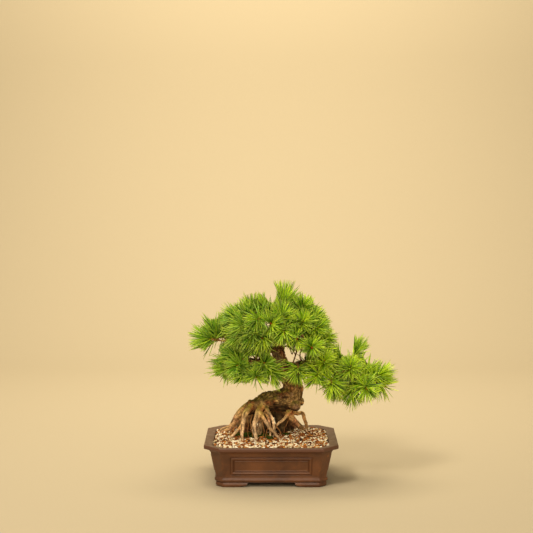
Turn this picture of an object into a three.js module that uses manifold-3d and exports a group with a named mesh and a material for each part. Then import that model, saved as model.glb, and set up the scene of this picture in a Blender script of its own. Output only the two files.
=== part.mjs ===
// A Japanese white pine grown over its own bare roots, in an unglazed rectangular pot with cut corners.
// Millimetres, +Z up, the pot's front looks along -Y. Routes and hubs are given from the pot's centre
// at table level; the whole group is then centred on the tree and pot together.
import * as THREE from "three";
import { mergeVertices } from "three/addons/utils/BufferGeometryUtils.js";
import Module from "manifold-3d";

const wasm = await Module();
wasm.setup();

// Driving dimensions
const GAP = 0.3; // between pieces that touch
const SEED = 20;

const POT = {
  width: 190, // over the rim
  height: 59,
  deeper: 26, // width less depth, the same at every level
  rimCorner: 22, // the cut at the rim's corners
  bodyCorner: 14,
  footCorner: 10,
  bodyTopWidth: 170,
  bodyFootWidth: 155.5,
  bodyTop: 46,
  beltTop: 13.2,
  beltFoot: 7.4,
  lip: 12, // width of the flat rim
  lipFall: 1.4, // how far the lip slopes in
  rimBand: 5.5, // height of the rim's edge
  rimFlare: 3, // width left between the hollow curve and the rim's edge
  soften: 0.9, // cut off the rim's sharp edges
  inRimCorner: 17,
  wall: 6,
  floor: 5.5, // thickness
  underside: 6.6, // height of the feet
};
// The rounded belt over the feet: how far it stands out, and how much of that is left near its edges
const BELT = { proud: 2.2, shoulder: 1.7, half: 2.1, corner: 0.9, root: 0.3 };
// The raised double frame on each face; its inner bead stands out less
const PANEL = { side: 24.5, foot: 18, top: 44, rail: 2.6, groove: 1.3, proud: 1.3, beadProud: 0.7, sunk: 2 };
const FOOT = { reach: 30.5, spread: 14.6, inset: 14, draft: 1, joint: 0.5 };
// The curved steps of a foot, as distances from its inner end with a height
const STEPS = { heel: 0.8, hollow: [3, 1.5], tread: [9, 1.8], swell: [12.8, 2.4], shoulder: [0.8, 5.2] };
const DRAIN = { radius: 8, offset: 38, screen: 26, screenThick: 1, openings: 3, opening: 5 };
const SOIL = { edge: 56.3, mound: 3.4, moundReach: [85, 72], grain: 11.8, relief: 2.2, layer: 20 };
const ROOT_DEPTH = 13; // how far a root goes on into the soil
const TWIG = { radius: 1.9, tip: 1.3, sides: 4, share: 0.62, setBack: 3, rise: 1.5 };
const NEEDLE = { shortest: 0.84, spread: [86, 60, 26], aside: 6, base: 0.8, clear: 0.3 };
const NUDGE = { tries: 40, angle: 2.4, shares: [1, 0.75] }; // how a needle is turned until it is clear
const SHOOT = { radius: 1.4, sides: 5, band: 1.8, bud: 3.4, core: 1.0, away: 3, straight: 6 };

// The trunk in two lengths that meet at its knee: x, y, z and radius
const TRUNK = [
  [[-36, 15, 94, 7.5], [-29, 14, 98, 10], [-16, 12, 103, 12.5], [0, 10, 108.5, 15], [17, 10, 112, 17],
    [29, 11, 115, 15.5], [35, 11, 119, 10]],
  [[22, 11, 106, 12], [30, 10, 118, 15.8], [31, 10, 131, 15.2], [25, 10, 144, 13.6], [17, 9, 157, 12.2],
    [12, 8, 174, 10.3], [10, 8, 190, 8.6], [11, 8, 207, 6.6], [13, 7, 222, 4.8], [15, 6, 230, 3.2]],
];

// Burrs and old stubs on the trunk: x, y, z and radius
const BURRS = [[34, 1, 104, 8.5], [42, 9, 109, 6.5], [-30, 10, 107, 4.5], [8, -4, 112, 8], [20, -4, 122, 7],
  [38, 8, 128, 6], [15, 0, 150, 6]];

// The bare roots, from the trunk down to the soil
const ROOTS = {
  rimLeft: [[-27, 16, 102, 9], [-40, 20, 93, 6.6], [-50, 27, 82, 5], [-55, 32, 72, 4.6],
    [-60, 36, 65, 4.4], [-67, 38, 61, 4], [-73, 38, 58.5, 3.4]],
  secondLeft: [[-28, 6, 103, 5], [-37, -5, 94, 3.7], [-40, -14, 85, 3.1], [-41, -22, 76, 2.9],
    [-42, -27, 67, 2.3], [-41, -30, 59, 1.8]],
  forkLeft: [[-41, -16, 81, 2.2], [-45, -13, 74, 2.1], [-51, -11, 67, 1.9], [-57, -13, 61, 1.8],
    [-60, -15, 57, 1.5]],
  thirdLeft: [[-14, 0, 104, 5.2], [-18, -9, 97, 4.2], [-21, -16, 88, 3.4], [-24, -20, 80, 3.2],
    [-24, -24, 73, 3.1], [-22, -28, 65, 2.9], [-21, -31, 58, 2.3]],
  thirdRight: [[-17, -8, 97, 3.2], [-12, -16, 91, 2.6], [-7, -18, 83, 2.3], [-2, -22, 75, 2.1],
    [5, -24, 69, 1.9], [12, -28, 60, 1.6]],
  fourth: [[-9, 1, 105, 3.6], [-3, -12, 95, 2.1], [2, -14, 87, 1.9], [4, -16, 77, 1.8],
    [5, -18, 68, 1.7], [10, -20, 60, 1.5]],
  fifth: [[-8, -4, 97, 2.4], [-4, -8, 87, 1.9], [-2, -10, 77, 1.7], [-1, -12, 69, 1.6],
    [-1, -13, 60, 1.5]],
  middle: [[-13, 10, 96, 5], [-15, 6, 81, 3.8], [-16, 2, 72, 3.4], [-17, -3, 60, 2.8]],
  heart: [[10, 18, 104, 11], [12, 22, 88, 9], [15, 24, 74, 8], [15, 26, 60, 8]],
  leftHeart: [[-22, 19, 101, 9], [-31, 24, 88, 9.5], [-39, 28, 74, 10], [-41, 30, 60, 9.5]],
  middleHeart: [[-6, 18, 102, 10], [-8, 24, 88, 10], [-8, 28, 74, 9.5], [-9, 30, 60, 9.5]],
  rightHeart: [[18, 20, 104, 9], [24, 25, 90, 7.5], [27, 32, 75, 7], [28, 38, 60, 6.5]],
  rightFront: [[28, 8, 98, 3.8], [22, -2, 89, 2.3], [17, -6, 84, 2], [10, -8, 79, 1.8],
    [5, -7, 71, 1.7], [3, -5, 60, 1.6]],
  mainRight: [[22, 14, 103, 9], [28, 19, 86, 5.4], [34, 27, 76, 4.6], [40, 36, 69, 4.4], [46, 44, 60, 4]],
  arch: [[25, 17, 98, 5], [38, 31, 87, 3], [47, 41, 85, 2.6], [50, 48, 76, 2.5],
    [53, 55, 66, 2.3], [54, 60, 59.5, 2]],
  backLeft: [[-12, 22, 101, 7], [-18, 34, 85, 4.8], [-24, 44, 71, 4], [-30, 52, 60, 3]],
  backMiddle: [[2, 22, 100, 6], [2, 36, 86, 4.2], [-2, 47, 73, 3.4], [0, 56, 60, 2.8]],
};

// Each bough: its route with radii, the length of its needles, and its sprays, each a list of tufts
// given by hub and aim, with a length of their own where it differs
const BOUGHS = {
  left_tip: {
    needles: 34,
    route: [[7, 8, 182, 5.2], [-12, 8, 190, 4.3], [-32, 6, 194, 3.5], [-50, 3, 195, 2.8], [-64, 1, 195, 2.3]],
    sprays: [
      [[-81, -6, 212, -0.35, -0.25, 0.9], [-90, -12, 204, -1, -0.2, 0.2], [-86, -4, 196, -0.75, -0.3, -0.65]],
      [[-76, 20, 204, -0.6, 0.75, 0.25], [-67, 4, 212, -0.4, 0.1, 0.9]],
    ],
  },
  left_crown: {
    needles: 30,
    route: [[8, 8, 196, 5.2], [-8, 6, 208, 4.3], [-22, 3, 214, 3.4], [-33, 1, 219, 2.6]],
    sprays: [
      [[-49, -12, 232, -0.85, -0.2, 0.5], [-54, 10, 219, -0.9, 0.3, 0.25]],
      [[-43, -24, 211, -0.85, -0.45, -0.25], [-39, -34, 225, -0.55, -0.8, 0.1]],
      [[-35, -14, 236, -0.45, -0.45, 0.8]],
      [[-19, -38, 234, -0.5, -0.75, -0.3]],
      [[-25, -4, 242, -0.15, -0.1, 0.95]],
      [[-44, 26, 229, -0.55, 0.65, 0.5]],
      [[-30, 34, 234, -0.1, 0.75, 0.65], [-36, 40, 212, -0.3, 0.9, -0.05]],
      [[-26, -42, 214, -0.25, -0.9, -0.3]],
    ],
  },
  left_low: {
    needles: 29,
    route: [[13, 8, 163, 5.8], [-6, 4, 165, 4.9], [-19, -3, 169, 4], [-31, -7, 172, 3.4],
      [-42, -8, 171, 2.7]],
    sprays: [
      [[-66, -15, 158, -0.8, -0.35, -0.4], [-64, -4, 171, -0.85, -0.05, 0.45]],
      [[-52, -18, 180, -0.75, -0.35, 0.35], [-46, -34, 168, -0.4, -0.85, 0.05]],
      [[-22, -48, 155, 0, -1, -0.1], [-40, -36, 156, -0.35, -0.7, -0.6]],
      [[-21, -30, 196, -0.55, -0.7, -0.4]],
      [[0, -36, 158, 0.5, -0.65, -0.5]],
      [[-10, -40, 171, 0.05, -0.85, 0.4]],
      [[-59, 18, 159, -0.7, 0.65, -0.15], [-47, 8, 175, -0.3, 0.35, 0.85]],
      [[-31, 38, 151, -0.05, 0.9, -0.3], [-40, 30, 170, -0.3, 0.75, 0.5]],
      [[-12, 32, 169, 0, 0.8, 0.5]],
    ],
  },
  top: {
    needles: 30,
    route: [[11, 8, 212, 5], [14, 7, 223, 3.8], [16, 6, 231, 2.6]],
    sprays: [
      [[17, 2, 254, 0.03, -0.05, 1, 38]],
      [[-9, -5, 245, -0.4, -0.15, 0.85]],
      [[15, -26, 236, 0.05, -0.6, 0.75]],
      [[18, -42, 218, 0, -0.85, -0.45]],
      [[-12, -38, 209, -0.15, -0.95, -0.1]],
      [[0, -40, 228, -0.1, -0.9, 0.35]],
      [[3, 24, 242, -0.15, 0.7, 0.7], [21, 36, 228, 0.15, 0.9, 0.4]],
      [[-6, 36, 210, -0.3, 0.9, 0]],
    ],
  },
  right_top: {
    needles: 26,
    route: [[14, 7, 222, 3.8], [27, 4, 230, 3.2], [38, 2, 236, 2.5]],
    sprays: [
      [[44, -10, 248, 0.2, -0.55, 0.8], [30, 10, 247, 0, 0.2, 0.95]],
      [[44, -38, 230, 0.1, -0.75, 0.6]],
      [[60, -16, 232, 0.5, -0.55, 0.6], [55, 4, 237, 0.55, 0.1, 0.75]],
      [[50, 28, 242, 0.3, 0.75, 0.55]],
    ],
  },
  right_crown: {
    needles: 26,
    route: [[10, 8, 201, 4.9], [26, 6, 212, 4], [41, 3, 214, 3.2], [51, 2, 216, 2.6]],
    sprays: [
      [[65, -28, 220, 0.5, -0.8, 0.25]],
      [[36, -40, 208, 0.05, -0.95, 0]],
      [[57, -54, 197, 0, -1, 0]],
      [[65, -2, 219, 0.8, -0.1, 0.55], [74, -10, 204, 0.95, -0.25, -0.05]],
      [[64, 30, 220, 0.55, 0.7, 0.4]],
      [[53, 38, 198, 0.2, 0.95, -0.05], [34, 32, 213, 0, 0.9, 0.3]],
      [[74, -20, 188, 0.6, -0.6, -0.5]],
    ],
  },
  right_long: {
    needles: 29,
    route: [[26, 10, 151, 7.2], [39, 8, 161, 6.6], [56, 2, 164, 5.8], [76, -5, 162, 4.7], [96, -10, 157, 3.9],
      [113, -10, 152, 3], [126, -8, 148, 2.4]],
    sprays: [
      [[38, -32, 161, -0.05, -0.8, -0.6]],
      [[65, -40, 153, -0.3, -0.75, -0.55]],
      [[86, -42, 142, 0.1, -0.75, -0.65]],
      [[75, -34, 173, 0.05, -0.8, 0.6]],
      [[98, -12, 172, 0.1, -0.4, 0.85], [121, -5, 183, 0.35, -0.2, 0.9]],
      [[113, -38, 165, 0, -0.8, 0.55]],
      [[134, -48, 139, 0.15, -0.95, -0.25]],
      [[116, -26, 130, -0.1, -0.6, -0.75]],
      [[155, -14, 151, 0.75, -0.3, 0.5], [162, -10, 135, 0.9, -0.25, -0.3]],
      [[140, -2, 156, 0.35, -0.1, 0.9]],
      [[71, 28, 154, 0, 0.9, 0.35], [52, 32, 166, -0.15, 0.8, 0.55]],
      [[111, 30, 139, 0.15, 0.95, 0], [95, 16, 130, -0.05, 0.55, -0.8]],
      [[147, 22, 136, 0.55, 0.75, 0], [127, 16, 159, 0.2, 0.5, 0.85]],
    ],
  },
};

const COLOURS = {
  clay: new THREE.MeshStandardMaterial({ color: 0x6b4630, roughness: 0.72, metalness: 0 }),
  soil: new THREE.MeshStandardMaterial({ color: 0xc2a37e, roughness: 0.95, metalness: 0 }),
  screen: new THREE.MeshStandardMaterial({ color: 0x23262a, roughness: 0.6, metalness: 0 }),
  bark: new THREE.MeshStandardMaterial({ color: 0x5a4028, roughness: 0.9, metalness: 0 }),
  needles: new THREE.MeshStandardMaterial({ color: 0x5c9a2c, roughness: 0.5, metalness: 0 }),
};

// Small tools
const vector = (x, y, z) => new THREE.Vector3(x, y, z);
const radians = THREE.MathUtils.degToRad;
const mix = THREE.MathUtils.lerp;
const GOLDEN = Math.PI * (3 - Math.sqrt(5));

// A repeatable number from 0 to 1 for a whole number
function chance(index) {
  const wave = Math.sin((index + SEED) * 127.1) * 43758.5453;
  return wave - Math.floor(wave);
}

// Two directions square to the given one
function squareTo(axis) {
  const helper = Math.abs(axis.z) > 0.9 ? vector(1, 0, 0) : vector(0, 0, 1);
  const side = vector().crossVectors(helper, axis).normalize();
  return [side, vector().crossVectors(axis, side).normalize()];
}

function geometryFrom(points, faces) {
  const geometry = new THREE.BufferGeometry();
  geometry.setAttribute("position", new THREE.Float32BufferAttribute(points.flat(), 3));
  geometry.setIndex(faces.flat());
  return geometry;
}

// Solids for joining and cutting
function solid(geometry) {
  const bare = new THREE.BufferGeometry();
  bare.setAttribute("position", geometry.getAttribute("position"));
  bare.setIndex(geometry.getIndex());
  const merged = mergeVertices(bare, 1e-4);
  return new wasm.Manifold(new wasm.Mesh({
    numProp: 3,
    vertProperties: new Float32Array(merged.getAttribute("position").array),
    triVerts: new Uint32Array(merged.getIndex().array),
  }));
}

function joined(geometries) {
  return geometries.map(solid).reduce((whole, piece) => whole.add(piece));
}

function placed(name, body, material) {
  const { vertProperties, triVerts } = body.getMesh();
  const geometry = new THREE.BufferGeometry();
  geometry.setAttribute("position", new THREE.BufferAttribute(new Float32Array(vertProperties), 3));
  geometry.setIndex(new THREE.BufferAttribute(new Uint32Array(triVerts), 1));
  const mesh = new THREE.Mesh(geometry, material);
  mesh.name = name;
  return mesh;
}

// A closed skin through rings of equally many points, from the first ring to the last
function skin(rings, firstCentre, lastCentre) {
  const count = rings[0].length;
  const points = rings.flat();
  const faces = [];
  for (let ring = 0; ring < rings.length - 1; ring += 1) {
    for (let i = 0; i < count; i += 1) {
      const next = (i + 1) % count;
      const [a, b] = [ring * count + i, ring * count + next];
      faces.push([a, b, b + count], [a, b + count, a + count]);
    }
  }
  const [first, last] = [points.length, points.length + 1];
  points.push(firstCentre, lastCentre);
  const top = (rings.length - 1) * count;
  for (let i = 0; i < count; i += 1) {
    const next = (i + 1) % count;
    faces.push([first, next, i], [last, top + i, top + next]);
  }
  return geometryFrom(points, faces);
}

// The pot's plan at one level: a rectangle with cut corners
function planRing(width, corner, z) {
  const [x, y] = [width / 2, (width - POT.deeper) / 2];
  return [[x - corner, -y, z], [x, corner - y, z], [x, y - corner, z], [x - corner, y, z],
    [corner - x, y, z], [-x, y - corner, z], [-x, corner - y, z], [corner - x, -y, z]];
}

function planLoft(levels) {
  const rings = levels.map(([z, width, corner]) => planRing(width, corner, z));
  return skin(rings, [0, 0, levels[0][0]], [0, 0, levels.at(-1)[0]]);
}

// The space inside the pot, smaller all round by a margin
function potSpace(margin) {
  const atTop = POT.width - 2 * POT.lip - 2 * margin;
  const atBodyTop = POT.bodyTopWidth - 2 * POT.wall - 2 * margin;
  const atFloor = POT.bodyFootWidth - 2 * POT.wall - 2 * margin;
  return [
    [POT.underside + POT.floor + margin, atFloor, POT.footCorner],
    [POT.bodyTop, atBodyTop, POT.bodyCorner],
    [POT.height - POT.lipFall, atTop, POT.inRimCorner],
  ];
}

function potBody() {
  const belt = (POT.beltTop + POT.beltFoot) / 2;
  const outside = [
    [POT.underside, POT.bodyFootWidth - FOOT.draft, POT.footCorner],
    [POT.beltFoot, POT.bodyFootWidth, POT.footCorner],
    [belt - BELT.half, POT.bodyFootWidth + 2 * BELT.shoulder, POT.footCorner + BELT.corner],
    [belt, POT.bodyFootWidth + 2 * BELT.proud, POT.footCorner + BELT.corner],
    [belt + BELT.half, POT.bodyFootWidth + 2 * BELT.shoulder, POT.footCorner + BELT.corner],
    [POT.beltTop, POT.bodyFootWidth + 2 * BELT.root, POT.footCorner + BELT.root],
    [POT.bodyTop, POT.bodyTopWidth, POT.bodyCorner],
  ];
  // The hollow curve under the rim is a quarter turn
  const rimFoot = POT.height - POT.rimBand;
  for (const turn of [30, 60, 90]) {
    const rise = Math.sin(radians(turn)) * (rimFoot - POT.bodyTop);
    const flare = 1 - Math.cos(radians(turn));
    outside.push([
      POT.bodyTop + rise,
      mix(POT.bodyTopWidth, POT.width - POT.rimFlare, flare),
      mix(POT.bodyCorner, POT.rimCorner - POT.soften, flare),
    ]);
  }
  outside.push(
    [rimFoot + POT.soften, POT.width, POT.rimCorner],
    [POT.height - POT.soften, POT.width, POT.rimCorner],
    [POT.height, POT.width - 2 * POT.soften, POT.rimCorner - POT.soften],
  );
  const inside = potSpace(0);
  inside.push([POT.height + GAP, POT.width - 4 * POT.soften - 2 * GAP, POT.rimCorner - 2 * POT.soften]);
  return solid(planLoft(outside)).subtract(solid(planLoft(inside)));
}

// A flat rectangular frame that lies on a sloping face of the pot
function frameRing(width, height, rail, proud) {
  const shape = new THREE.Shape();
  shape.moveTo(-width / 2, -height / 2);
  shape.lineTo(width / 2, -height / 2);
  shape.lineTo(width / 2, height / 2);
  shape.lineTo(-width / 2, height / 2);
  const hole = new THREE.Path();
  const [x, y] = [width / 2 - rail, height / 2 - rail];
  hole.moveTo(-x, -y);
  hole.lineTo(-x, y);
  hole.lineTo(x, y);
  hole.lineTo(x, -y);
  shape.holes.push(hole);
  const geometry = new THREE.ExtrudeGeometry(shape, { depth: proud + PANEL.sunk, bevelEnabled: false });
  return geometry.translate(0, 0, -PANEL.sunk);
}

function panelFrames() {
  const faceHeight = POT.bodyTop - POT.beltTop;
  const lean = Math.atan2((POT.bodyTopWidth - POT.bodyFootWidth) / 2, faceHeight);
  const middle = (PANEL.top + PANEL.foot) / 2;
  const share = (middle - POT.beltTop) / faceHeight;
  const widthHere = mix(POT.bodyFootWidth, POT.bodyTopWidth, share);
  const frames = [];
  for (const [turn, faceWidth] of [[0, widthHere], [90, widthHere - POT.deeper], [180, widthHere],
    [270, widthHere - POT.deeper]]) {
    const reach = turn % 180 === 0 ? (widthHere - POT.deeper) / 2 : widthHere / 2;
    const width = faceWidth - 2 * PANEL.side;
    const height = PANEL.top - PANEL.foot;
    const inner = 2 * (PANEL.rail + PANEL.groove);
    for (const frame of [
      frameRing(width, height, PANEL.rail, PANEL.proud),
      frameRing(width - inner, height - inner, PANEL.rail / 2, PANEL.beadProud),
    ]) {
      frame.rotateX(Math.PI / 2 + lean);
      frame.translate(0, -reach, middle);
      frame.rotateZ(radians(turn));
      frames.push(frame);
    }
  }
  return joined(frames);
}

// The gap between two bracket feet, with a curved step at each end
function footGap(half, length) {
  const top = POT.underside;
  const inner = half - FOOT.spread;
  const { heel, hollow, tread, swell, shoulder } = STEPS;
  const shape = new THREE.Shape();
  shape.moveTo(-half, -1);
  shape.lineTo(half, -1);
  shape.lineTo(half, heel);
  shape.quadraticCurveTo(half - hollow[0], hollow[1], half - tread[0], tread[1]);
  shape.quadraticCurveTo(half - swell[0], swell[1], inner + shoulder[0], shoulder[1]);
  shape.lineTo(inner, top);
  shape.lineTo(-inner, top);
  shape.lineTo(-inner - shoulder[0], shoulder[1]);
  shape.quadraticCurveTo(swell[0] - half, swell[1], tread[0] - half, tread[1]);
  shape.quadraticCurveTo(hollow[0] - half, hollow[1], -half, heel);
  const gap = new THREE.ExtrudeGeometry(shape, { depth: length, bevelEnabled: false, curveSegments: 3 });
  return gap.translate(0, 0, -length / 2).rotateX(Math.PI / 2);
}

function potFeet() {
  // The feet's ring reaches a little way up into the pot's floor
  const ring = solid(planLoft([
    [0, POT.bodyFootWidth - FOOT.draft, POT.footCorner],
    [POT.underside + FOOT.joint, POT.bodyFootWidth - FOOT.draft, POT.footCorner],
  ]));
  const inside = solid(planLoft([
    [-1, POT.bodyFootWidth - 2 * FOOT.inset, POT.footCorner / 2],
    [POT.underside, POT.bodyFootWidth - 2 * FOOT.inset, POT.footCorner / 2],
  ]));
  const frontGap = solid(footGap(POT.bodyFootWidth / 2 - FOOT.reach, 2 * POT.width));
  const sideHalf = (POT.bodyFootWidth - POT.deeper) / 2 - FOOT.reach;
  const sideGap = solid(footGap(sideHalf, 2 * POT.width).rotateZ(Math.PI / 2));
  return ring.subtract(inside).subtract(frontGap).subtract(sideGap);
}

function drainHole(x) {
  const hole = new THREE.CylinderGeometry(DRAIN.radius, DRAIN.radius, POT.underside + 2 * POT.floor, 20);
  return solid(hole.rotateX(Math.PI / 2).translate(x, 0, POT.underside));
}

// A square of net over a drain hole
function drainScreen(x) {
  const half = DRAIN.screen / 2;
  const shape = new THREE.Shape();
  shape.moveTo(-half, -half);
  shape.lineTo(half, -half);
  shape.lineTo(half, half);
  shape.lineTo(-half, half);
  const pitch = DRAIN.screen / (DRAIN.openings + 0.5);
  for (let row = 0; row < DRAIN.openings; row += 1) {
    for (let column = 0; column < DRAIN.openings; column += 1) {
      const middle = (DRAIN.openings - 1) / 2;
      const [u, v] = [(column - middle) * pitch, (row - middle) * pitch];
      const hole = new THREE.Path();
      hole.absarc(u, v, DRAIN.opening / 2, 0.3, 0.3 + 2 * Math.PI, true);
      shape.holes.push(hole);
    }
  }
  const settings = { depth: DRAIN.screenThick, bevelEnabled: false, curveSegments: 2 };
  const net = new THREE.ExtrudeGeometry(shape, settings);
  return net.translate(x, 0, POT.underside + POT.floor + GAP);
}

// The rings and the centre line of a tube through [x, y, z, radius] points
function sweep(route, sides, steps, roughness = 0) {
  const curve = routeCurve(route);
  const rings = [];
  const line = [];
  let side = null;
  for (let step = 0; step <= steps; step += 1) {
    const t = step / steps;
    const at = t * (route.length - 1);
    const below = Math.min(Math.floor(at), route.length - 2);
    const radius = mix(route[below][3], route[below + 1][3], at - below);
    const centre = curve.getPoint(t);
    const axis = curve.getTangent(t);
    side = side ? side.addScaledVector(axis, -side.dot(axis)).normalize() : squareTo(axis)[0];
    const ring = [];
    for (let i = 0; i < sides; i += 1) {
      const turn = (2 * Math.PI * i) / sides;
      const ridge = Math.sin(3 * turn + 9 * t) + Math.sin(5 * turn - 14 * t) + Math.sin(25 * t + 2 * turn);
      ring.push(ringPoint(centre, axis, side, turn, radius * (1 + (roughness * ridge) / 3)));
    }
    rings.push(ring);
    line.push({ centre, axis, radius });
  }
  return { rings, line, side };
}

function routeCurve(route) {
  return new THREE.CatmullRomCurve3(route.map(([x, y, z]) => vector(x, y, z)), false, "centripetal");
}

function ringPoint(centre, axis, side, turn, radius) {
  const other = vector().crossVectors(axis, side);
  const point = centre.clone().addScaledVector(side, Math.cos(turn) * radius);
  return point.addScaledVector(other, Math.sin(turn) * radius).toArray();
}

// A closed tube, drawn out a little at its far end
function limb(route, sides, steps, roughness = 0, drawnOut = 0.5) {
  const { rings, line } = sweep(route, sides, steps, roughness);
  const end = line.at(-1);
  const tip = end.centre.clone().addScaledVector(end.axis, drawnOut * end.radius);
  return { geometry: skin(rings, line[0].centre.toArray(), tip.toArray()), line };
}

// Everything that needles keep clear of: lengths with a radius at each end
const taken = [];

function take(line, owner) {
  for (let i = 0; i < line.length - 1; i += 1) {
    const [a, b] = [line[i], line[i + 1]];
    taken.push({ from: a.centre, to: b.centre, start: a.radius, end: b.radius, owner });
  }
}

// The clear distance between two tapering lengths
function clearance(a, b) {
  const along = vector().subVectors(a.to, a.from);
  const other = vector().subVectors(b.to, b.from);
  const apart = vector().subVectors(a.from, b.from);
  const [aa, bb, ab] = [along.lengthSq(), other.lengthSq(), along.dot(other)];
  const [ac, bc] = [along.dot(apart), other.dot(apart)];
  const clamp = (value) => Math.min(1, Math.max(0, value));
  const spread = aa * bb - ab * ab;
  let s = spread > 1e-9 ? clamp((ab * bc - ac * bb) / spread) : 0;
  const t = clamp((ab * s + bc) / bb);
  s = clamp((ab * t - ac) / aa);
  const gap = apart.addScaledVector(along, s).addScaledVector(other, -t).length();
  return gap - mix(a.start, a.end, s) - mix(b.start, b.end, t);
}

function isClear(length) {
  return taken.every((other) => {
    if (other.owner === length.owner) return true;
    return clearance(length, other) >= NEEDLE.clear;
  });
}

// The place on a bough from which a spray's twig leaves
function leavingPlace(route, goal) {
  const curve = routeCurve(route);
  let best = null;
  for (let step = 2; step <= 30; step += 1) {
    const place = curve.getPoint(step / 30);
    const away = place.distanceTo(goal);
    if (!best || away < best.away) best = { place, away, t: step / 30 };
  }
  const nearer = Math.max(0, best.t - (0.3 * best.away) / curve.getLength());
  return curve.getPoint(nearer);
}

// A twig from a bough to the fork of a spray, and the shoots that go on from there
function plan(bough, tufts) {
  const hubs = tufts.map(([x, y, z]) => vector(x, y, z));
  const aims = tufts.map(([, , , x, y, z]) => vector(x, y, z).normalize());
  const middle = hubs.reduce((sum, hub) => sum.add(hub), vector(0, 0, 0)).divideScalar(hubs.length);
  const aim = aims.reduce((sum, each) => sum.add(each), vector(0, 0, 0)).normalize();
  const start = leavingPlace(bough.route, middle);
  const fork = start.clone().lerp(middle, TWIG.share).addScaledVector(aim, -TWIG.setBack);
  const bend = start.clone().lerp(fork, 0.5).add(vector(0, 0, TWIG.rise));
  const point = ({ x, y, z }, radius) => [x, y, z, radius];
  const route = [point(start, TWIG.radius), point(bend, TWIG.radius), point(fork, TWIG.tip)];
  const twig = limb(route, TWIG.sides, 2, 0, 0);
  const end = twig.line.at(-1);
  const first = end.centre.clone().addScaledVector(end.axis, GAP);
  const away = first.clone().addScaledVector(end.axis, SHOOT.away);
  const cores = [];
  hubs.forEach((hub, i) => {
    // The first shoot grows on from the twig, and the others from inside the first
    const before = hub.clone().addScaledVector(aims[i], -SHOOT.straight);
    const foot = i === 0 ? [first, away] : [cores[0].line[1].centre];
    const last = hub.clone().addScaledVector(aims[i], -1.5 * SHOOT.band);
    const stops = [...foot, before, last].map((place) => point(place, SHOOT.core));
    if (i > 0) stops[0][3] = SHOOT.core / 2;
    cores.push(sweep(stops, SHOOT.sides, 3));
  });
  const lengths = tufts.map((each) => each[6] ?? bough.needles);
  return { twig, cores, hubs, aims, lengths };
}

// A shoot from the fork to its bud, with the facets of its last bands drawn out into needles
function tuft(core, hub, aim, needle, owner, seed) {
  const { sides, band, radius } = SHOOT;
  const bands = NEEDLE.spread.length;
  const rings = [...core.rings];
  for (let ring = 0; ring <= bands; ring += 1) {
    const centre = hub.clone().addScaledVector(aim, (ring - 1) * band);
    rings.push(core.rings[0].map((_, i) => {
      const turn = (2 * Math.PI * (i + (ring + 1) / 2)) / sides;
      return ringPoint(centre, aim, core.side, turn, radius);
    }));
  }
  const points = rings.flat();
  const faces = [];
  for (let ring = 0; ring < rings.length - 1; ring += 1) {
    const spread = NEEDLE.spread[ring - core.rings.length];
    for (let i = 0; i < sides; i += 1) {
      const next = (i + 1) % sides;
      const [a, b] = [ring * sides + i, ring * sides + next];
      const facet = [a, b, a + sides];
      faces.push([b, b + sides, a + sides]);
      const corners = facet.map((corner) => points[corner]);
      const tip = spread && needleTip(corners, hub, aim, needle, spread, owner, seed * 50 + a);
      if (tip) {
        const apex = points.push(tip) - 1;
        faces.push([a, b, apex], [b, a + sides, apex], [a + sides, a, apex]);
      } else {
        faces.push(facet);
      }
    }
  }
  const bud = points.push(hub.clone().addScaledVector(aim, (bands - 1) * band + SHOOT.bud).toArray()) - 1;
  const foot = points.push(core.line[0].centre.toArray()) - 1;
  const last = (rings.length - 1) * sides;
  for (let i = 0; i < sides; i += 1) {
    const next = (i + 1) % sides;
    faces.push([foot, next, i], [bud, last + i, last + next]);
  }
  return geometryFrom(points, faces);
}

// Where a needle from a facet ends: as wished, or turned a little until it is clear of all the others
function needleTip(corners, hub, aim, longest, spread, owner, seed) {
  const base = corners.reduce((sum, corner) => sum.add(vector(...corner)), vector(0, 0, 0)).divideScalar(3);
  const outward = base.clone().sub(hub);
  outward.addScaledVector(aim, -outward.dot(aim)).normalize();
  const lean = radians(spread + NEEDLE.aside * (2 * chance(seed) - 1));
  const wish = outward.multiplyScalar(Math.sin(lean)).addScaledVector(aim, Math.cos(lean)).normalize();
  const [side, other] = squareTo(wish);
  for (const share of NUDGE.shares) {
    const length = longest * share * mix(NEEDLE.shortest, 1, chance(seed + 0.5));
    for (let attempt = 0; attempt < NUDGE.tries; attempt += 1) {
      const away = Math.tan(radians(NUDGE.angle * Math.sqrt(attempt)));
      const turn = attempt * GOLDEN;
      const direction = wish.clone().addScaledVector(side, Math.cos(turn) * away);
      direction.addScaledVector(other, Math.sin(turn) * away).normalize();
      const tip = base.clone().addScaledVector(direction, length);
      const from = base.clone().addScaledVector(direction, 1);
      const needle = { from, to: tip, start: NEEDLE.base, end: 0, owner };
      if (isClear(needle)) {
        taken.push({ ...needle, owner: `${owner} needles` });
        return tip.toArray();
      }
    }
  }
  return null;
}

// The wood: trunk, burrs, bare roots, boughs and twigs grown as one
const plans = [];
for (const [name, bough] of Object.entries(BOUGHS)) {
  bough.sprays.forEach((tufts, i) => {
    plans.push({ name: `spray_${name}_${i + 1}`, ...plan(bough, tufts) });
  });
}
const woodLimbs = [
  ...TRUNK.map((route) => limb(route, 10, 2 * route.length, 0.12)),
  ...Object.values(ROOTS).map((route) => rootLimb(intoSoil(route), 0.5)),
  ...Object.values(BOUGHS).map(({ route }) => limb(route, 6, route.length + 1, 0.08)),
  ...plans.map(({ twig }) => twig),
];

function intoSoil(route) {
  const [x, y, z, radius] = route.at(-1);
  const [px, py] = route.at(-2);
  return [...route, [mix(x, px, -0.2), mix(y, py, -0.2), z - ROOT_DEPTH, radius * 0.8]];
}

function rootLimb(route, drawnOut) {
  return limb(route, 6, route.length, 0.1, drawnOut);
}

function burr([x, y, z, radius]) {
  return new THREE.SphereGeometry(radius, 6, 5).translate(x, y, z);
}

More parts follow.
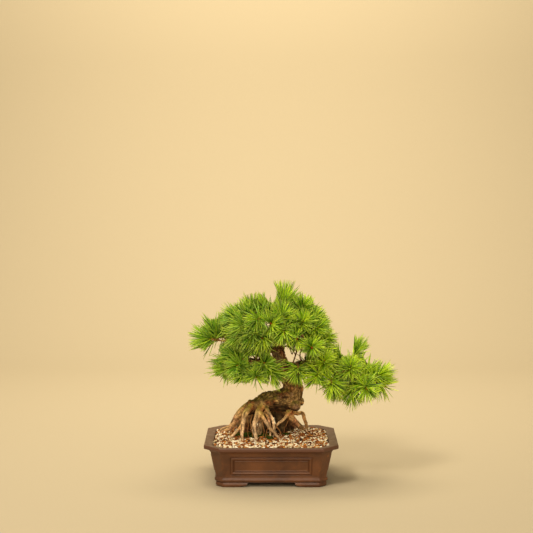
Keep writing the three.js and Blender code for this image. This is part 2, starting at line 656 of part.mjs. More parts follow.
const wood = joined([...woodLimbs.map(({ geometry }) => geometry), ...BURRS.map(burr)]);

// The soil, with grains as relief, holes for the roots and room for the drain screens
function soilTop() {
  const width = POT.width;
  const columns = Math.ceil(width / SOIL.grain);
  const points = [];
  for (let row = 0; row <= columns; row += 1) {
    for (let column = 0; column <= columns; column += 1) {
      const index = row * (columns + 1) + column;
      const x = (column / columns - 0.5) * width + (row % 2) * SOIL.grain * 0.5;
      const y = (row / columns - 0.5) * width;
      const reach = Math.min(1, Math.hypot(x / SOIL.moundReach[0], y / SOIL.moundReach[1]));
      const mound = SOIL.mound * (1 - reach * reach);
      points.push([x, y, SOIL.edge + mound + SOIL.relief * chance(index)]);
    }
  }
  const faces = [];
  const count = points.length;
  const under = SOIL.edge - SOIL.layer;
  points.push(...points.map(([x, y]) => [x, y, under]));
  const at = (row, column) => row * (columns + 1) + column;
  for (let row = 0; row < columns; row += 1) {
    for (let column = 0; column < columns; column += 1) {
      const [a, b] = [at(row, column), at(row, column + 1)];
      const [c, d] = [at(row + 1, column + 1), at(row + 1, column)];
      faces.push([a, b, c], [a, c, d], [a + count, c + count, b + count], [a + count, d + count, c + count]);
    }
  }
  for (let i = 0; i < columns; i += 1) {
    for (const [a, b] of [[at(0, i + 1), at(0, i)], [at(columns, i), at(columns, i + 1)],
      [at(i, 0), at(i + 1, 0)], [at(i + 1, columns), at(i, columns)]]) {
      faces.push([a, b, a + count], [b, b + count, a + count]);
    }
  }
  return solid(geometryFrom(points, faces));
}

function soilBody() {
  const [atFloor, atBodyTop, [, width, corner]] = potSpace(GAP);
  const space = solid(planLoft([atFloor, atBodyTop, [POT.height + 8, width, corner]]));
  const lower = solid(planLoft([atFloor, [SOIL.edge - 5, width - 2, corner]]));
  let body = soilTop().intersect(space).add(lower.intersect(space));
  for (const route of Object.values(ROOTS)) {
    const wider = intoSoil(route).map(([x, y, z, radius]) => [x, y, z, radius + 1.5 * GAP]);
    body = body.subtract(solid(rootLimb(wider, 0.5 + (2 * GAP) / wider.at(-1)[3]).geometry));
  }
  for (const x of [-DRAIN.offset, DRAIN.offset]) {
    const side = DRAIN.screen + 2 * GAP;
    const room = new THREE.BoxGeometry(side, side, 2 * DRAIN.screenThick + 4 * GAP);
    body = body.subtract(solid(room.translate(x, 0, POT.underside + POT.floor + GAP)));
  }
  return body.decompose().sort((a, b) => b.volume() - a.volume())[0];
}

let pot = potBody().add(panelFrames()).add(potFeet());
for (const x of [-DRAIN.offset, DRAIN.offset]) pot = pot.subtract(drainHole(x));

const tree = new THREE.Group();
tree.add(placed("pot", pot, COLOURS.clay));
tree.add(placed("soil", soilBody(), COLOURS.soil));
tree.add(placed("drain_screen_left", solid(drainScreen(-DRAIN.offset)), COLOURS.screen));
tree.add(placed("drain_screen_right", solid(drainScreen(DRAIN.offset)), COLOURS.screen));
tree.add(placed("tree_wood", wood, COLOURS.bark));

// The sprays of needles
for (const { line } of woodLimbs) take(line, "wood");
for (const { name, cores, hubs, aims } of plans) {
  cores.forEach(({ line }, i) => {
    const bud = hubs[i].clone().addScaledVector(aims[i], SHOOT.band * (NEEDLE.spread.length - 1) + SHOOT.bud);
    take([...line, { centre: bud, radius: SHOOT.radius }], name);
  });
}
plans.forEach(({ name, cores, hubs, aims, lengths }, index) => {
  const shoots = cores.map((core, i) => tuft(core, hubs[i], aims[i], lengths[i], name, index * 7 + i));
  tree.add(placed(name, joined(shoots), COLOURS.needles));
});

// The origin is under the middle of the whole, at table level
const middle = new THREE.Box3().setFromObject(tree).getCenter(vector());
tree.position.set(-middle.x, -middle.y, 0);

const whole = new THREE.Group();
whole.add(tree);
export default whole;
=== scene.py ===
import math

import bpy
import numpy as np
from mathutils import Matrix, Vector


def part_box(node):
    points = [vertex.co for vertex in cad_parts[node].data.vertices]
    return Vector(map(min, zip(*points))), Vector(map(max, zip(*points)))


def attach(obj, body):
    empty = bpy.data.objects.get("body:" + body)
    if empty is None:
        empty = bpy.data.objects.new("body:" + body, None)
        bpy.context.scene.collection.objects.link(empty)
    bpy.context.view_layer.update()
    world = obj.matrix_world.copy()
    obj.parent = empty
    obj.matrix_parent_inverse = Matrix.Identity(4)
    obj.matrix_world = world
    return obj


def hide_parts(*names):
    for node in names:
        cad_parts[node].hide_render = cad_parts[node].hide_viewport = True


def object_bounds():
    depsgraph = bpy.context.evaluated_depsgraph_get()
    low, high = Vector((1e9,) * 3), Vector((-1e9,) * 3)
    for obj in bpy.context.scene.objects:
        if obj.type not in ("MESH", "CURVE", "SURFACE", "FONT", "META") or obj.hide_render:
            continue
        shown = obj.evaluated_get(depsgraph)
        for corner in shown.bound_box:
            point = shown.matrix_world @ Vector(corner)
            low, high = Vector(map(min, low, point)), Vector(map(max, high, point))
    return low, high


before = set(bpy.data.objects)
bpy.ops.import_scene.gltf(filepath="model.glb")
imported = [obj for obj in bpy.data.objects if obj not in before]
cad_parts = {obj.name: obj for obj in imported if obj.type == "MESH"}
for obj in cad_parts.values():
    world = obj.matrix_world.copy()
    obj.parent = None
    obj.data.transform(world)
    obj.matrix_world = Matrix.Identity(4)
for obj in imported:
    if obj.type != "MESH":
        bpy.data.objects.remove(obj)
cadLow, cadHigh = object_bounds()

# Everything is worked out in millimetres from the pot's centre at table level, and put in the frame last
potLow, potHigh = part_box("pot")
potCentre = np.array([(potLow.x + potHigh.x) / 2, (potLow.y + potHigh.y) / 2, 0])
goldenTurn = math.pi * (3 - math.sqrt(5))
up = np.array([0.0, 0.0, 1.0])


def toFrame(points):
    return np.asarray(points, dtype=float) * 0.001 + potCentre


def unit(vectors):
    vectors = np.asarray(vectors, dtype=float)
    return vectors / np.maximum(np.linalg.norm(vectors, axis=-1, keepdims=True), 1e-9)


def blend(a, b, share):
    return a + (b - a) * share


def ease(value, low, high):
    share = np.clip((value - low) / (high - low), 0, 1)
    return share * share * (3 - 2 * share)


# Seeded noise, the same on each run

def cellValue(cells, seed):
    whole = np.asarray(cells).astype(np.int64).astype(np.uint64)
    mixed = whole[..., 0] * np.uint64(374761393) + whole[..., 1] * np.uint64(668265263)
    mixed = mixed + whole[..., 2] * np.uint64(2246822519) + np.uint64(seed * 3266489917)
    mixed = (mixed ^ (mixed >> np.uint64(15))) * np.uint64(2654435761)
    mixed = (mixed ^ (mixed >> np.uint64(13))) * np.uint64(1274126177)
    return ((mixed ^ (mixed >> np.uint64(16))) & np.uint64(0xFFFFFF)).astype(float) / 0xFFFFFF


def softNoise(points, size, seed=0):  # from -1 to 1, smooth over the given size
    scaled = np.asarray(points) / size
    base = np.floor(scaled)
    part = scaled - base
    part = part * part * (3 - 2 * part)
    total = 0
    for corner in np.ndindex(2, 2, 2):
        weight = np.prod(np.where(corner, part, 1 - part), axis=1)
        total = total + weight * cellValue(base + corner, seed)
    return total * 2 - 1


# Distance to the nearest cell and to the second nearest, and the nearest one's own value
def cellNoise(points, size, seed=0):
    scaled = np.asarray(points) / size
    base = np.floor(scaled)
    nearest = np.full(len(scaled), 9.0)
    second = nearest.copy()
    value = np.zeros(len(scaled))
    for step in np.ndindex(3, 3, 3):
        cell = base + step - 1
        middle = cell + np.stack([cellValue(cell, seed + k) for k in range(3)], axis=1)
        away = np.linalg.norm(scaled - middle, axis=1)
        value = np.where(away < nearest, cellValue(cell, seed + 3), value)
        second = np.minimum(second, np.maximum(nearest, away))
        nearest = np.minimum(nearest, away)
    return nearest, second, value


# Curves and tubes

def pathPoints(route, shares):  # a smooth curve through the stops, with the radius at each point
    stops = np.array(route, dtype=float)
    places = stops[:, :3]
    padded = np.vstack([2 * places[0] - places[1], places, 2 * places[-1] - places[-2]])
    line = []
    for at in np.asarray(shares) * (len(stops) - 1):
        i = min(int(at), len(stops) - 2)
        t = at - i
        a, b, c, d = padded[i:i + 4]
        before, here, after = (max(np.linalg.norm(step), 1e-9) ** 0.5 for step in (b - a, c - b, d - c))
        leave = ((b - a) / before - (c - a) / (before + here) + (c - b) / here) * here
        arrive = ((c - b) / here - (d - b) / (here + after) + (d - c) / after) * here
        bend = -3 * b + 3 * c - 2 * leave - arrive
        line.append(b + leave * t + bend * t ** 2 + (2 * b - 2 * c + leave + arrive) * t ** 3)
    radii = np.interp(np.asarray(shares) * (len(stops) - 1), range(len(stops)), stops[:, 3])
    return np.array(line), radii


def smoothPath(route, steps):
    return pathPoints(route, np.linspace(0, 1, steps + 1))


def squareTo(axis):
    helper = np.array([1.0, 0, 0]) if abs(axis[2]) > 0.9 else up
    return unit(np.cross(helper, axis))


def axesAlong(line):
    tangents = unit(np.gradient(line, axis=0))
    side = squareTo(tangents[0])
    sides = []
    for tangent in tangents:
        side = unit(side - tangent * side.dot(tangent))
        sides.append(side)
    sides = np.array(sides)
    return tangents, sides, np.cross(tangents, sides)


def ringFaces(rings, sides):  # quads between rings, and a fan at each end on two more points
    faces = []
    for ring in range(rings - 1):
        for i in range(sides):
            a, b = ring * sides + i, ring * sides + (i + 1) % sides
            faces.append((a, b, b + sides, a + sides))
    first, last = rings * sides, rings * sides + 1
    top = (rings - 1) * sides
    for i in range(sides):
        j = (i + 1) % sides
        faces.append((first, j, i))
        faces.append((last, top + i, top + j))
    return faces


def tube(line, radii, sides, swell=0.0, drawnOut=0.5, ripple=None):
    tangents, across, over = axesAlong(line)
    turns = 2 * math.pi * np.arange(sides) / sides
    radius = np.repeat(np.asarray(radii)[:, None], sides, axis=1)
    if swell:
        t = np.linspace(0, 1, len(line))[:, None]
        ridge = np.sin(3 * turns + 9 * t) + np.sin(5 * turns - 14 * t) + np.sin(25 * t + 2 * turns)
        radius = radius * (1 + swell * ridge / 3)
    if ripple is not None:
        radius = radius * ripple
    rings = line[:, None] + radius[..., None] * (
        np.cos(turns)[None, :, None] * across[:, None] + np.sin(turns)[None, :, None] * over[:, None])
    points = np.vstack([rings.reshape(-1, 3), line[0], line[-1] + tangents[-1] * drawnOut * radii[-1]])
    return points, ringFaces(len(line), sides)


def joinParts(parts):  # several lots of points and faces as one
    points, faces, start = [], [], 0
    for partPoints, partFaces in parts:
        points.append(partPoints)
        faces.extend(tuple(start + i for i in face) for face in partFaces)
        start += len(partPoints)
    return np.vstack(points), faces


def makeMesh(name, points, faces):
    mesh = bpy.data.meshes.new(name)
    mesh.from_pydata(toFrame(points).tolist(), [], faces)
    mesh.validate()
    return mesh


def makePiece(name, mesh, materials, replaced, smoothBelow=None):
    piece = bpy.data.objects.new(name, mesh)
    bpy.context.scene.collection.objects.link(piece)
    for material in materials:
        mesh.materials.append(material)
    if smoothBelow is not None:
        mesh.shade_smooth()
        mesh.set_sharp_from_angle(angle=math.radians(smoothBelow))
    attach(piece, "root")
    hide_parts(*replaced)
    return piece


def applyModifiers(piece):
    graph = bpy.context.evaluated_depsgraph_get()
    mesh = bpy.data.meshes.new_from_object(piece.evaluated_get(graph))
    old, name = piece.data, piece.data.name
    piece.modifiers.clear()
    piece.data = mesh
    bpy.data.meshes.remove(old)
    mesh.name = name


def readPoints(mesh):  # back to millimetres from the pot's centre
    flat = np.empty(len(mesh.vertices) * 3)
    mesh.vertices.foreach_get("co", flat)
    return (flat.reshape(-1, 3) - potCentre) * 1000


def readNormals(mesh):
    flat = np.empty(len(mesh.vertices) * 3)
    mesh.vertices.foreach_get("normal", flat)
    return flat.reshape(-1, 3)


def writePoints(mesh, points):
    mesh.vertices.foreach_set("co", toFrame(points).ravel())
    mesh.update()


def paint(mesh, name, values, domain="POINT"):  # one value, or one for each point or face
    layer = mesh.attributes.new(name, "FLOAT", domain)
    layer.data.foreach_set("value", np.full(len(layer.data), values, dtype=np.float32))


def report(stage, *pieces):
    faces = sum(len(polygon.vertices) - 2 for piece in pieces for polygon in piece.data.polygons)
    print(f"{stage}: {len(pieces)} pieces, {faces} triangles")


# Material tools

def tint(red, green, blue):  # from a screen colour, 0 to 255, to linear light
    shares = [c / 255 for c in (red, green, blue)]
    return tuple(c / 12.92 if c <= 0.04045 else ((c + 0.055) / 1.055) ** 2.4 for c in shares) + (1,)


def connect(tree, socket, value):
    if isinstance(value, bpy.types.NodeSocket):
        tree.links.new(value, socket)
    else:
        socket.default_value = value


def addNode(tree, kind, inputs=None, **settings):
    node = tree.nodes.new("ShaderNode" + kind)
    for key, value in settings.items():
        setattr(node, key, value)
    for key, value in (inputs or {}).items():
        connect(tree, node.inputs[key], value)
    return node


def newMaterial(name, roughness, specular=0.5):
    material = bpy.data.materials.new(name)
    material.use_nodes = True
    tree = material.node_tree
    shader = tree.nodes["Principled BSDF"]
    shader.inputs["Roughness"].default_value = roughness
    shader.inputs["Specular IOR Level"].default_value = specular
    place = addNode(tree, "TexCoord").outputs["Object"]
    return material, tree, shader, place


def noise(tree, place, size, detail=3, rough=0.55):  # size in millimetres
    inputs = {"Vector": place, "Scale": 1000 / size, "Detail": detail, "Roughness": rough}
    return addNode(tree, "TexNoise", inputs).outputs["Fac"]


def cells(tree, place, size):
    return addNode(tree, "TexVoronoi", {"Vector": place, "Scale": 1000 / size}).outputs["Distance"]


def spread(tree, value, low, high, toLow=0.0, toHigh=1.0):
    inputs = {"Value": value, "From Min": low, "From Max": high, "To Min": toLow, "To Max": toHigh}
    return addNode(tree, "MapRange", inputs, clamp=True).outputs["Result"]


def times(tree, a, b):
    return addNode(tree, "Math", {0: a, 1: b}, operation="MULTIPLY").outputs[0]


def mixColours(tree, share, a, b, mode="MIX"):
    node = addNode(tree, "Mix", {0: share, 6: a, 7: b}, data_type="RGBA", blend_type=mode)
    return node.outputs[2]


def setColour(tree, shader, colour, brightness):  # brightness is a factor round 1
    grey = addNode(tree, "CombineColor", {0: brightness, 1: brightness, 2: brightness}).outputs[0]
    connect(tree, shader.inputs["Base Color"], mixColours(tree, 1.0, colour, grey, "MULTIPLY"))


def setRoughness(tree, shader, pattern, smoothest, roughest):
    connect(tree, shader.inputs["Roughness"], spread(tree, pattern, 0.3, 0.7, smoothest, roughest))


def ramp(tree, value, stops):
    node = addNode(tree, "ValToRGB", {"Fac": value})
    elements = node.color_ramp.elements
    while len(elements) < len(stops):
        elements.new(0.5)
    for element, (place, colour) in zip(elements, stops):
        element.position = place
        element.color = colour
    return node.outputs["Color"]


def painted(tree, name):
    return addNode(tree, "Attribute", attribute_name=name).outputs["Fac"]


def addBump(tree, shader, height, deep, strength=1.0, under=None):  # depth in millimetres
    inputs = {"Height": height, "Distance": deep / 1000, "Strength": strength}
    if under:
        inputs["Normal"] = under
    bump = addNode(tree, "Bump", inputs)
    connect(tree, shader.inputs["Normal"], bump.outputs["Normal"])
    return bump.outputs["Normal"]


# The camera's place and lens, as fitted to the photograph

cameraSetup = {"place": (-6.6, -1685.9, 420.9), "lookDown": 3.863, "lens": 79.04, "sensor": 36}


def makeCamera():
    data = bpy.data.cameras.new("camera")
    data.lens = cameraSetup["lens"]
    data.sensor_width = cameraSetup["sensor"]
    data.clip_end = 100
    camera = bpy.data.objects.new("camera", data)
    camera.location = toFrame(cameraSetup["place"])
    camera.rotation_euler = (math.radians(90 - cameraSetup["lookDown"]), 0, 0)
    bpy.context.scene.collection.objects.link(camera)
    bpy.context.scene.camera = camera


makeCamera()
print("camera set")


# The wood: x, y, z and radius along each limb, from the trunk outwards

trunkRoutes = [
    [[-36, 15, 94, 7.5], [-29, 14, 98, 10], [-16, 12, 103, 12.5], [0, 10, 108.5, 15], [17, 10, 112, 17],
     [29, 11, 115, 15.5], [35, 11, 119, 10]],
    [[22, 11, 106, 12], [30, 10, 118, 15.8], [31, 10, 131, 15.2], [25, 10, 144, 13.6], [17, 9, 157, 12.2],
     [12, 8, 174, 10.3], [10, 8, 190, 8.6], [11, 8, 207, 6.6], [13, 7, 222, 4.8], [15, 6, 230, 3.2]],
]
burrs = [[34, 1, 104, 8.5], [42, 9, 109, 6.5], [-30, 10, 107, 4.5], [8, -4, 112, 8], [20, -4, 122, 7],
         [38, 8, 128, 6], [15, 0, 150, 6]]
rootRoutes = {
    "rimLeft": [[-27, 16, 102, 9], [-40, 20, 93, 6.6], [-50, 27, 82, 5], [-55, 32, 72, 4.6],
                [-60, 36, 65, 4.4], [-67, 38, 61, 4], [-73, 38, 58.5, 3.4]],
    "secondLeft": [[-28, 6, 103, 5], [-37, -5, 94, 3.7], [-40, -14, 85, 3.1], [-41, -22, 76, 2.9],
                   [-42, -27, 67, 2.3], [-41, -30, 59, 1.8]],
    "forkLeft": [[-41, -16, 81, 2.2], [-45, -13, 74, 2.1], [-51, -11, 67, 1.9], [-57, -13, 61, 1.8],
                 [-60, -15, 57, 1.5]],
    "thirdLeft": [[-14, 0, 104, 5.2], [-18, -9, 97, 4.2], [-21, -16, 88, 3.4], [-24, -20, 80, 3.2],
                  [-24, -24, 73, 3.1], [-22, -28, 65, 2.9], [-21, -31, 58, 2.3]],
    "thirdRight": [[-17, -8, 97, 3.2], [-12, -16, 91, 2.6], [-7, -18, 83, 2.3], [-2, -22, 75, 2.1],
                   [5, -24, 69, 1.9], [12, -28, 60, 1.6]],
    "fourth": [[-9, 1, 105, 3.6], [-3, -12, 95, 2.1], [2, -14, 87, 1.9], [4, -16, 77, 1.8],
               [5, -18, 68, 1.7], [10, -20, 60, 1.5]],
    "fifth": [[-8, -4, 97, 2.4], [-4, -8, 87, 1.9], [-2, -10, 77, 1.7], [-1, -12, 69, 1.6],
              [-1, -13, 60, 1.5]],
    "middle": [[-13, 10, 96, 5], [-15, 6, 81, 3.8], [-16, 2, 72, 3.4], [-17, -3, 60, 2.8]],
    "heart": [[10, 18, 104, 11], [12, 22, 88, 9], [15, 24, 74, 8], [15, 26, 60, 8]],
    "leftHeart": [[-22, 19, 101, 9], [-31, 24, 88, 9.5], [-39, 28, 74, 10], [-41, 30, 60, 9.5]],
    "middleHeart": [[-6, 18, 102, 10], [-8, 24, 88, 10], [-8, 28, 74, 9.5], [-9, 30, 60, 9.5]],
    "rightHeart": [[18, 20, 104, 9], [24, 25, 90, 7.5], [27, 32, 75, 7], [28, 38, 60, 6.5]],
    "rightFront": [[28, 8, 98, 3.8], [22, -2, 89, 2.3], [17, -6, 84, 2], [10, -8, 79, 1.8],
                   [5, -7, 71, 1.7], [3, -5, 60, 1.6]],
    "mainRight": [[22, 14, 103, 9], [28, 19, 86, 5.4], [34, 27, 76, 4.6], [40, 36, 69, 4.4],
                  [46, 44, 60, 4]],
    "arch": [[25, 17, 98, 5], [38, 31, 87, 3], [47, 41, 85, 2.6], [50, 48, 76, 2.5], [53, 55, 66, 2.3],
             [54, 60, 59.5, 2]],
    "backLeft": [[-12, 22, 101, 7], [-18, 34, 85, 4.8], [-24, 44, 71, 4], [-30, 52, 60, 3]],
    "backMiddle": [[2, 22, 100, 6], [2, 36, 86, 4.2], [-2, 47, 73, 3.4], [0, 56, 60, 2.8]],
}
# How pale each root is, where the photograph shows washed bare bark
rootPaleness = {"rimLeft": 0.45, "secondLeft": 0.85, "forkLeft": 0.9, "thirdLeft": 1, "thirdRight": 0.95,
                "fourth": 0.95, "fifth": 0.8, "middle": 0.6, "heart": 0.05, "leftHeart": 0.08,
                "middleHeart": 0.03, "rightHeart": 0.03, "rightFront": 0.75, "mainRight": 0.3, "arch": 0.3,
                "backLeft": 0.5, "backMiddle": 0.5}
# Painted shade: how dark the thick roots that stand behind the others are painted
rootShade = {"heart": 0.85, "leftHeart": 0.7, "middleHeart": 0.85, "rightHeart": 0.85, "middle": 0.2}

# Each bough: the length of its needles, its route, and its sprays, each a list of tufts given by hub and
# aim, with a length of their own where it differs
boughs = {
    "left_tip": {
        "needles": 34,
        "route": [[7, 8, 182, 5.2], [-12, 8, 190, 4.3], [-32, 6, 194, 3.5], [-50, 3, 195, 2.8],
                  [-64, 1, 195, 2.3]],
        "sprays": [
            [[-81, -6, 212, -0.35, -0.25, 0.9], [-90, -12, 204, -1, -0.2, 0.2],
             [-86, -4, 196, -0.75, -0.3, -0.65]],
            [[-76, 20, 204, -0.6, 0.75, 0.25], [-67, 4, 212, -0.4, 0.1, 0.9]],
        ],
    },
    "left_crown": {
        "needles": 30,
        "route": [[8, 8, 196, 5.2], [-8, 6, 208, 4.3], [-22, 3, 214, 3.4], [-33, 1, 219, 2.6]],
        "sprays": [
            [[-49, -12, 232, -0.85, -0.2, 0.5], [-54, 10, 219, -0.9, 0.3, 0.25]],
            [[-43, -24, 211, -0.85, -0.45, -0.25], [-39, -34, 225, -0.55, -0.8, 0.1]],
            [[-35, -14, 236, -0.45, -0.45, 0.8]],
            [[-19, -38, 234, -0.5, -0.75, -0.3]],
            [[-25, -4, 242, -0.15, -0.1, 0.95]],
            [[-44, 26, 229, -0.55, 0.65, 0.5]],
            [[-30, 34, 234, -0.1, 0.75, 0.65], [-36, 40, 212, -0.3, 0.9, -0.05]],
            [[-26, -42, 214, -0.25, -0.9, -0.3]],
        ],
    },
    "left_low": {
        "needles": 29,
        "route": [[13, 8, 163, 5.8], [-6, 4, 165, 4.9], [-19, -3, 169, 4], [-31, -7, 172, 3.4],
                  [-42, -8, 171, 2.7]],
        "sprays": [
            [[-66, -15, 158, -0.8, -0.35, -0.4], [-64, -4, 171, -0.85, -0.05, 0.45]],
            [[-52, -18, 180, -0.75, -0.35, 0.35], [-46, -34, 168, -0.4, -0.85, 0.05]],
            [[-22, -48, 155, 0, -1, -0.1], [-40, -36, 156, -0.35, -0.7, -0.6]],
            [[-21, -30, 196, -0.55, -0.7, -0.4]],
            [[0, -36, 158, 0.5, -0.65, -0.5]],
            [[-10, -40, 171, 0.05, -0.85, 0.4]],
            [[-59, 18, 159, -0.7, 0.65, -0.15], [-47, 8, 175, -0.3, 0.35, 0.85]],
            [[-31, 38, 151, -0.05, 0.9, -0.3], [-40, 30, 170, -0.3, 0.75, 0.5]],
            [[-12, 32, 169, 0, 0.8, 0.5]],
        ],
    },
    "top": {
        "needles": 30,
        "route": [[11, 8, 212, 5], [14, 7, 223, 3.8], [16, 6, 231, 2.6]],
        "sprays": [
            [[17, 2, 254, 0.03, -0.05, 1, 38]],
            [[-9, -5, 245, -0.4, -0.15, 0.85]],
            [[15, -26, 236, 0.05, -0.6, 0.75]],
            [[18, -42, 218, 0, -0.85, -0.45]],
            [[-12, -38, 209, -0.15, -0.95, -0.1]],
            [[0, -40, 228, -0.1, -0.9, 0.35]],
            [[3, 24, 242, -0.15, 0.7, 0.7], [21, 36, 228, 0.15, 0.9, 0.4]],
            [[-6, 36, 210, -0.3, 0.9, 0]],
        ],
    },
    "right_top": {
        "needles": 26,
        "route": [[14, 7, 222, 3.8], [27, 4, 230, 3.2], [38, 2, 236, 2.5]],
        "sprays": [
            [[44, -10, 248, 0.2, -0.55, 0.8], [30, 10, 247, 0, 0.2, 0.95]],
            [[44, -38, 230, 0.1, -0.75, 0.6]],
            [[60, -16, 232, 0.5, -0.55, 0.6], [55, 4, 237, 0.55, 0.1, 0.75]],
            [[50, 28, 242, 0.3, 0.75, 0.55]],
        ],
    },
    "right_crown": {
        "needles": 26,
        "route": [[10, 8, 201, 4.9], [26, 6, 212, 4], [41, 3, 214, 3.2], [51, 2, 216, 2.6]],
        "sprays": [
            [[65, -28, 220, 0.5, -0.8, 0.25]],
            [[36, -40, 208, 0.05, -0.95, 0]],
            [[57, -54, 197, 0, -1, 0]],
            [[65, -2, 219, 0.8, -0.1, 0.55], [74, -10, 204, 0.95, -0.25, -0.05]],
            [[64, 30, 220, 0.55, 0.7, 0.4]],
            [[53, 38, 198, 0.2, 0.95, -0.05], [34, 32, 213, 0, 0.9, 0.3]],
            [[74, -20, 188, 0.6, -0.6, -0.5]],
        ],
    },
    "right_long": {
        "needles": 29,
        "route": [[26, 10, 151, 7.2], [39, 8, 161, 6.6], [56, 2, 164, 5.8], [76, -5, 162, 4.7],
                  [96, -10, 157, 3.9], [113, -10, 152, 3], [126, -8, 148, 2.4]],
        "sprays": [
            [[38, -32, 161, -0.05, -0.8, -0.6]],
            [[65, -40, 153, -0.3, -0.75, -0.55]],
            [[86, -42, 142, 0.1, -0.75, -0.65]],
            [[75, -34, 173, 0.05, -0.8, 0.6]],
            [[98, -12, 172, 0.1, -0.4, 0.85], [121, -5, 183, 0.35, -0.2, 0.9]],
            [[113, -38, 165, 0, -0.8, 0.55]],
            [[134, -48, 139, 0.15, -0.95, -0.25]],
            [[116, -26, 130, -0.1, -0.6, -0.75]],
            [[155, -14, 151, 0.75, -0.3, 0.5], [162, -10, 135, 0.9, -0.25, -0.3]],
            [[140, -2, 156, 0.35, -0.1, 0.9]],
            [[71, 28, 154, 0, 0.9, 0.35], [52, 32, 166, -0.15, 0.8, 0.55]],
            [[111, 30, 139, 0.15, 0.95, 0], [95, 16, 130, -0.05, 0.55, -0.8]],
            [[147, 22, 136, 0.55, 0.75, 0], [127, 16, 159, 0.2, 0.5, 0.85]],
        ],
    },
}

wood = {
    "voxel": 0.9,          # millimetres, the finest wood detail
    "smoothing": 6,
    "rootDepth": 13,       # how far the roots go on into the soil
    "plate": 4.2,          # size of the bark plates on the trunk
    "fissure": 1.15,       # depth of the cracks between them
    "boughPlate": 2.4,
    "boughFissure": 0.5175,
    "lumps": 1.35,         # height of the trunk's large humps
    "wrinkle": 0.42,       # of the bare roots
    "regain": 0.35,        # what smoothing takes off a thin root
    "join": 3.0,           # over which one limb's bark runs into the next
    "knots": [(36, -5, 103, 3.6), (36, -1, 131, 3.0), (-31, 3, 110, 2.6), (12, -9, 118, 3.2),
              (29, -4.5, 121, 2.6)],
}


def intoSoil(route):
    (px, py, _, _), (x, y, z, radius) = route[-2:]
    return route + [[x + 0.2 * (x - px), y + 0.2 * (y - py), z - wood["rootDepth"], radius * 0.8]]


def makeLimbs():
    limbs = []
    for route in trunkRoutes:
        limbs.append({"route": route, "kind": "trunk", "swell": 0.12, "steps": 90, "sides": 40})
    for name, route in rootRoutes.items():
        limbs.append({"route": intoSoil(route), "kind": "root", "swell": 0.1, "steps": 70, "sides": 24,
                      "pale": rootPaleness[name], "shade": rootShade.get(name, 0)})
    for bough in boughs.values():
        limbs.append({"route": bough["route"], "kind": "bough", "swell": 0.08, "steps": 80, "sides": 24})
    for limb in limbs:
        limb["line"], limb["radii"] = smoothPath(limb["route"], limb["steps"])
        limb["axes"] = axesAlong(limb["line"])
        steps = np.linalg.norm(np.diff(limb["line"], axis=0), axis=1)
        limb["length"] = np.concatenate([[0], np.cumsum(steps)])
    return limbs


def ball(x, y, z, radius, sides=20, rows=12):
    tilt = np.linspace(0, math.pi, rows + 2)[1:-1]
    turn = 2 * math.pi * np.arange(sides) / sides
    rings = np.stack([np.sin(tilt)[:, None] * np.cos(turn), np.sin(tilt)[:, None] * np.sin(turn),
                      np.repeat(-np.cos(tilt)[:, None], sides, axis=1)], axis=-1).reshape(-1, 3)
    points = np.vstack([rings, [0, 0, -1], [0, 0, 1]]) * radius + [x, y, z]
    return points, ringFaces(rows, sides)


# For the nearest limb of each point of the wood and the second nearest: its number, the depth inside it
# and the nearest point of its line
def limbPlaces(points, limbs):
    centres = np.vstack([limb["line"] for limb in limbs])
    radii = np.concatenate([limb["radii"] for limb in limbs])
    starts = np.cumsum([0] + [len(limb["line"]) for limb in limbs])
    order = np.zeros((len(points), 2), dtype=int)
    depth = np.zeros((len(points), 2))
    sample = np.zeros((len(points), 2), dtype=int)
    batch = 4000  # points at a time, to save memory
    for low in range(0, len(points), batch):
        part = points[low:low + batch]
        square = (part ** 2).sum(1)[:, None] + (centres ** 2).sum(1) - 2 * part @ centres.T
        away = np.sqrt(np.maximum(square, 0)) - radii
        best = np.minimum.reduceat(away, starts[:-1], axis=1)
        nearest = np.argsort(best, axis=1)[:, :2]
        for k in range(2):
            rows = slice(low, low + len(part))
            order[rows, k] = nearest[:, k]
            depth[rows, k] = np.take_along_axis(best, nearest[:, k:k + 1], axis=1)[:, 0]
            for limb in np.unique(nearest[:, k]):
                here = np.where(nearest[:, k] == limb)[0]
                sample[low + here, k] = away[here, starts[limb]:starts[limb + 1]].argmin(axis=1)
    return order, depth, sample
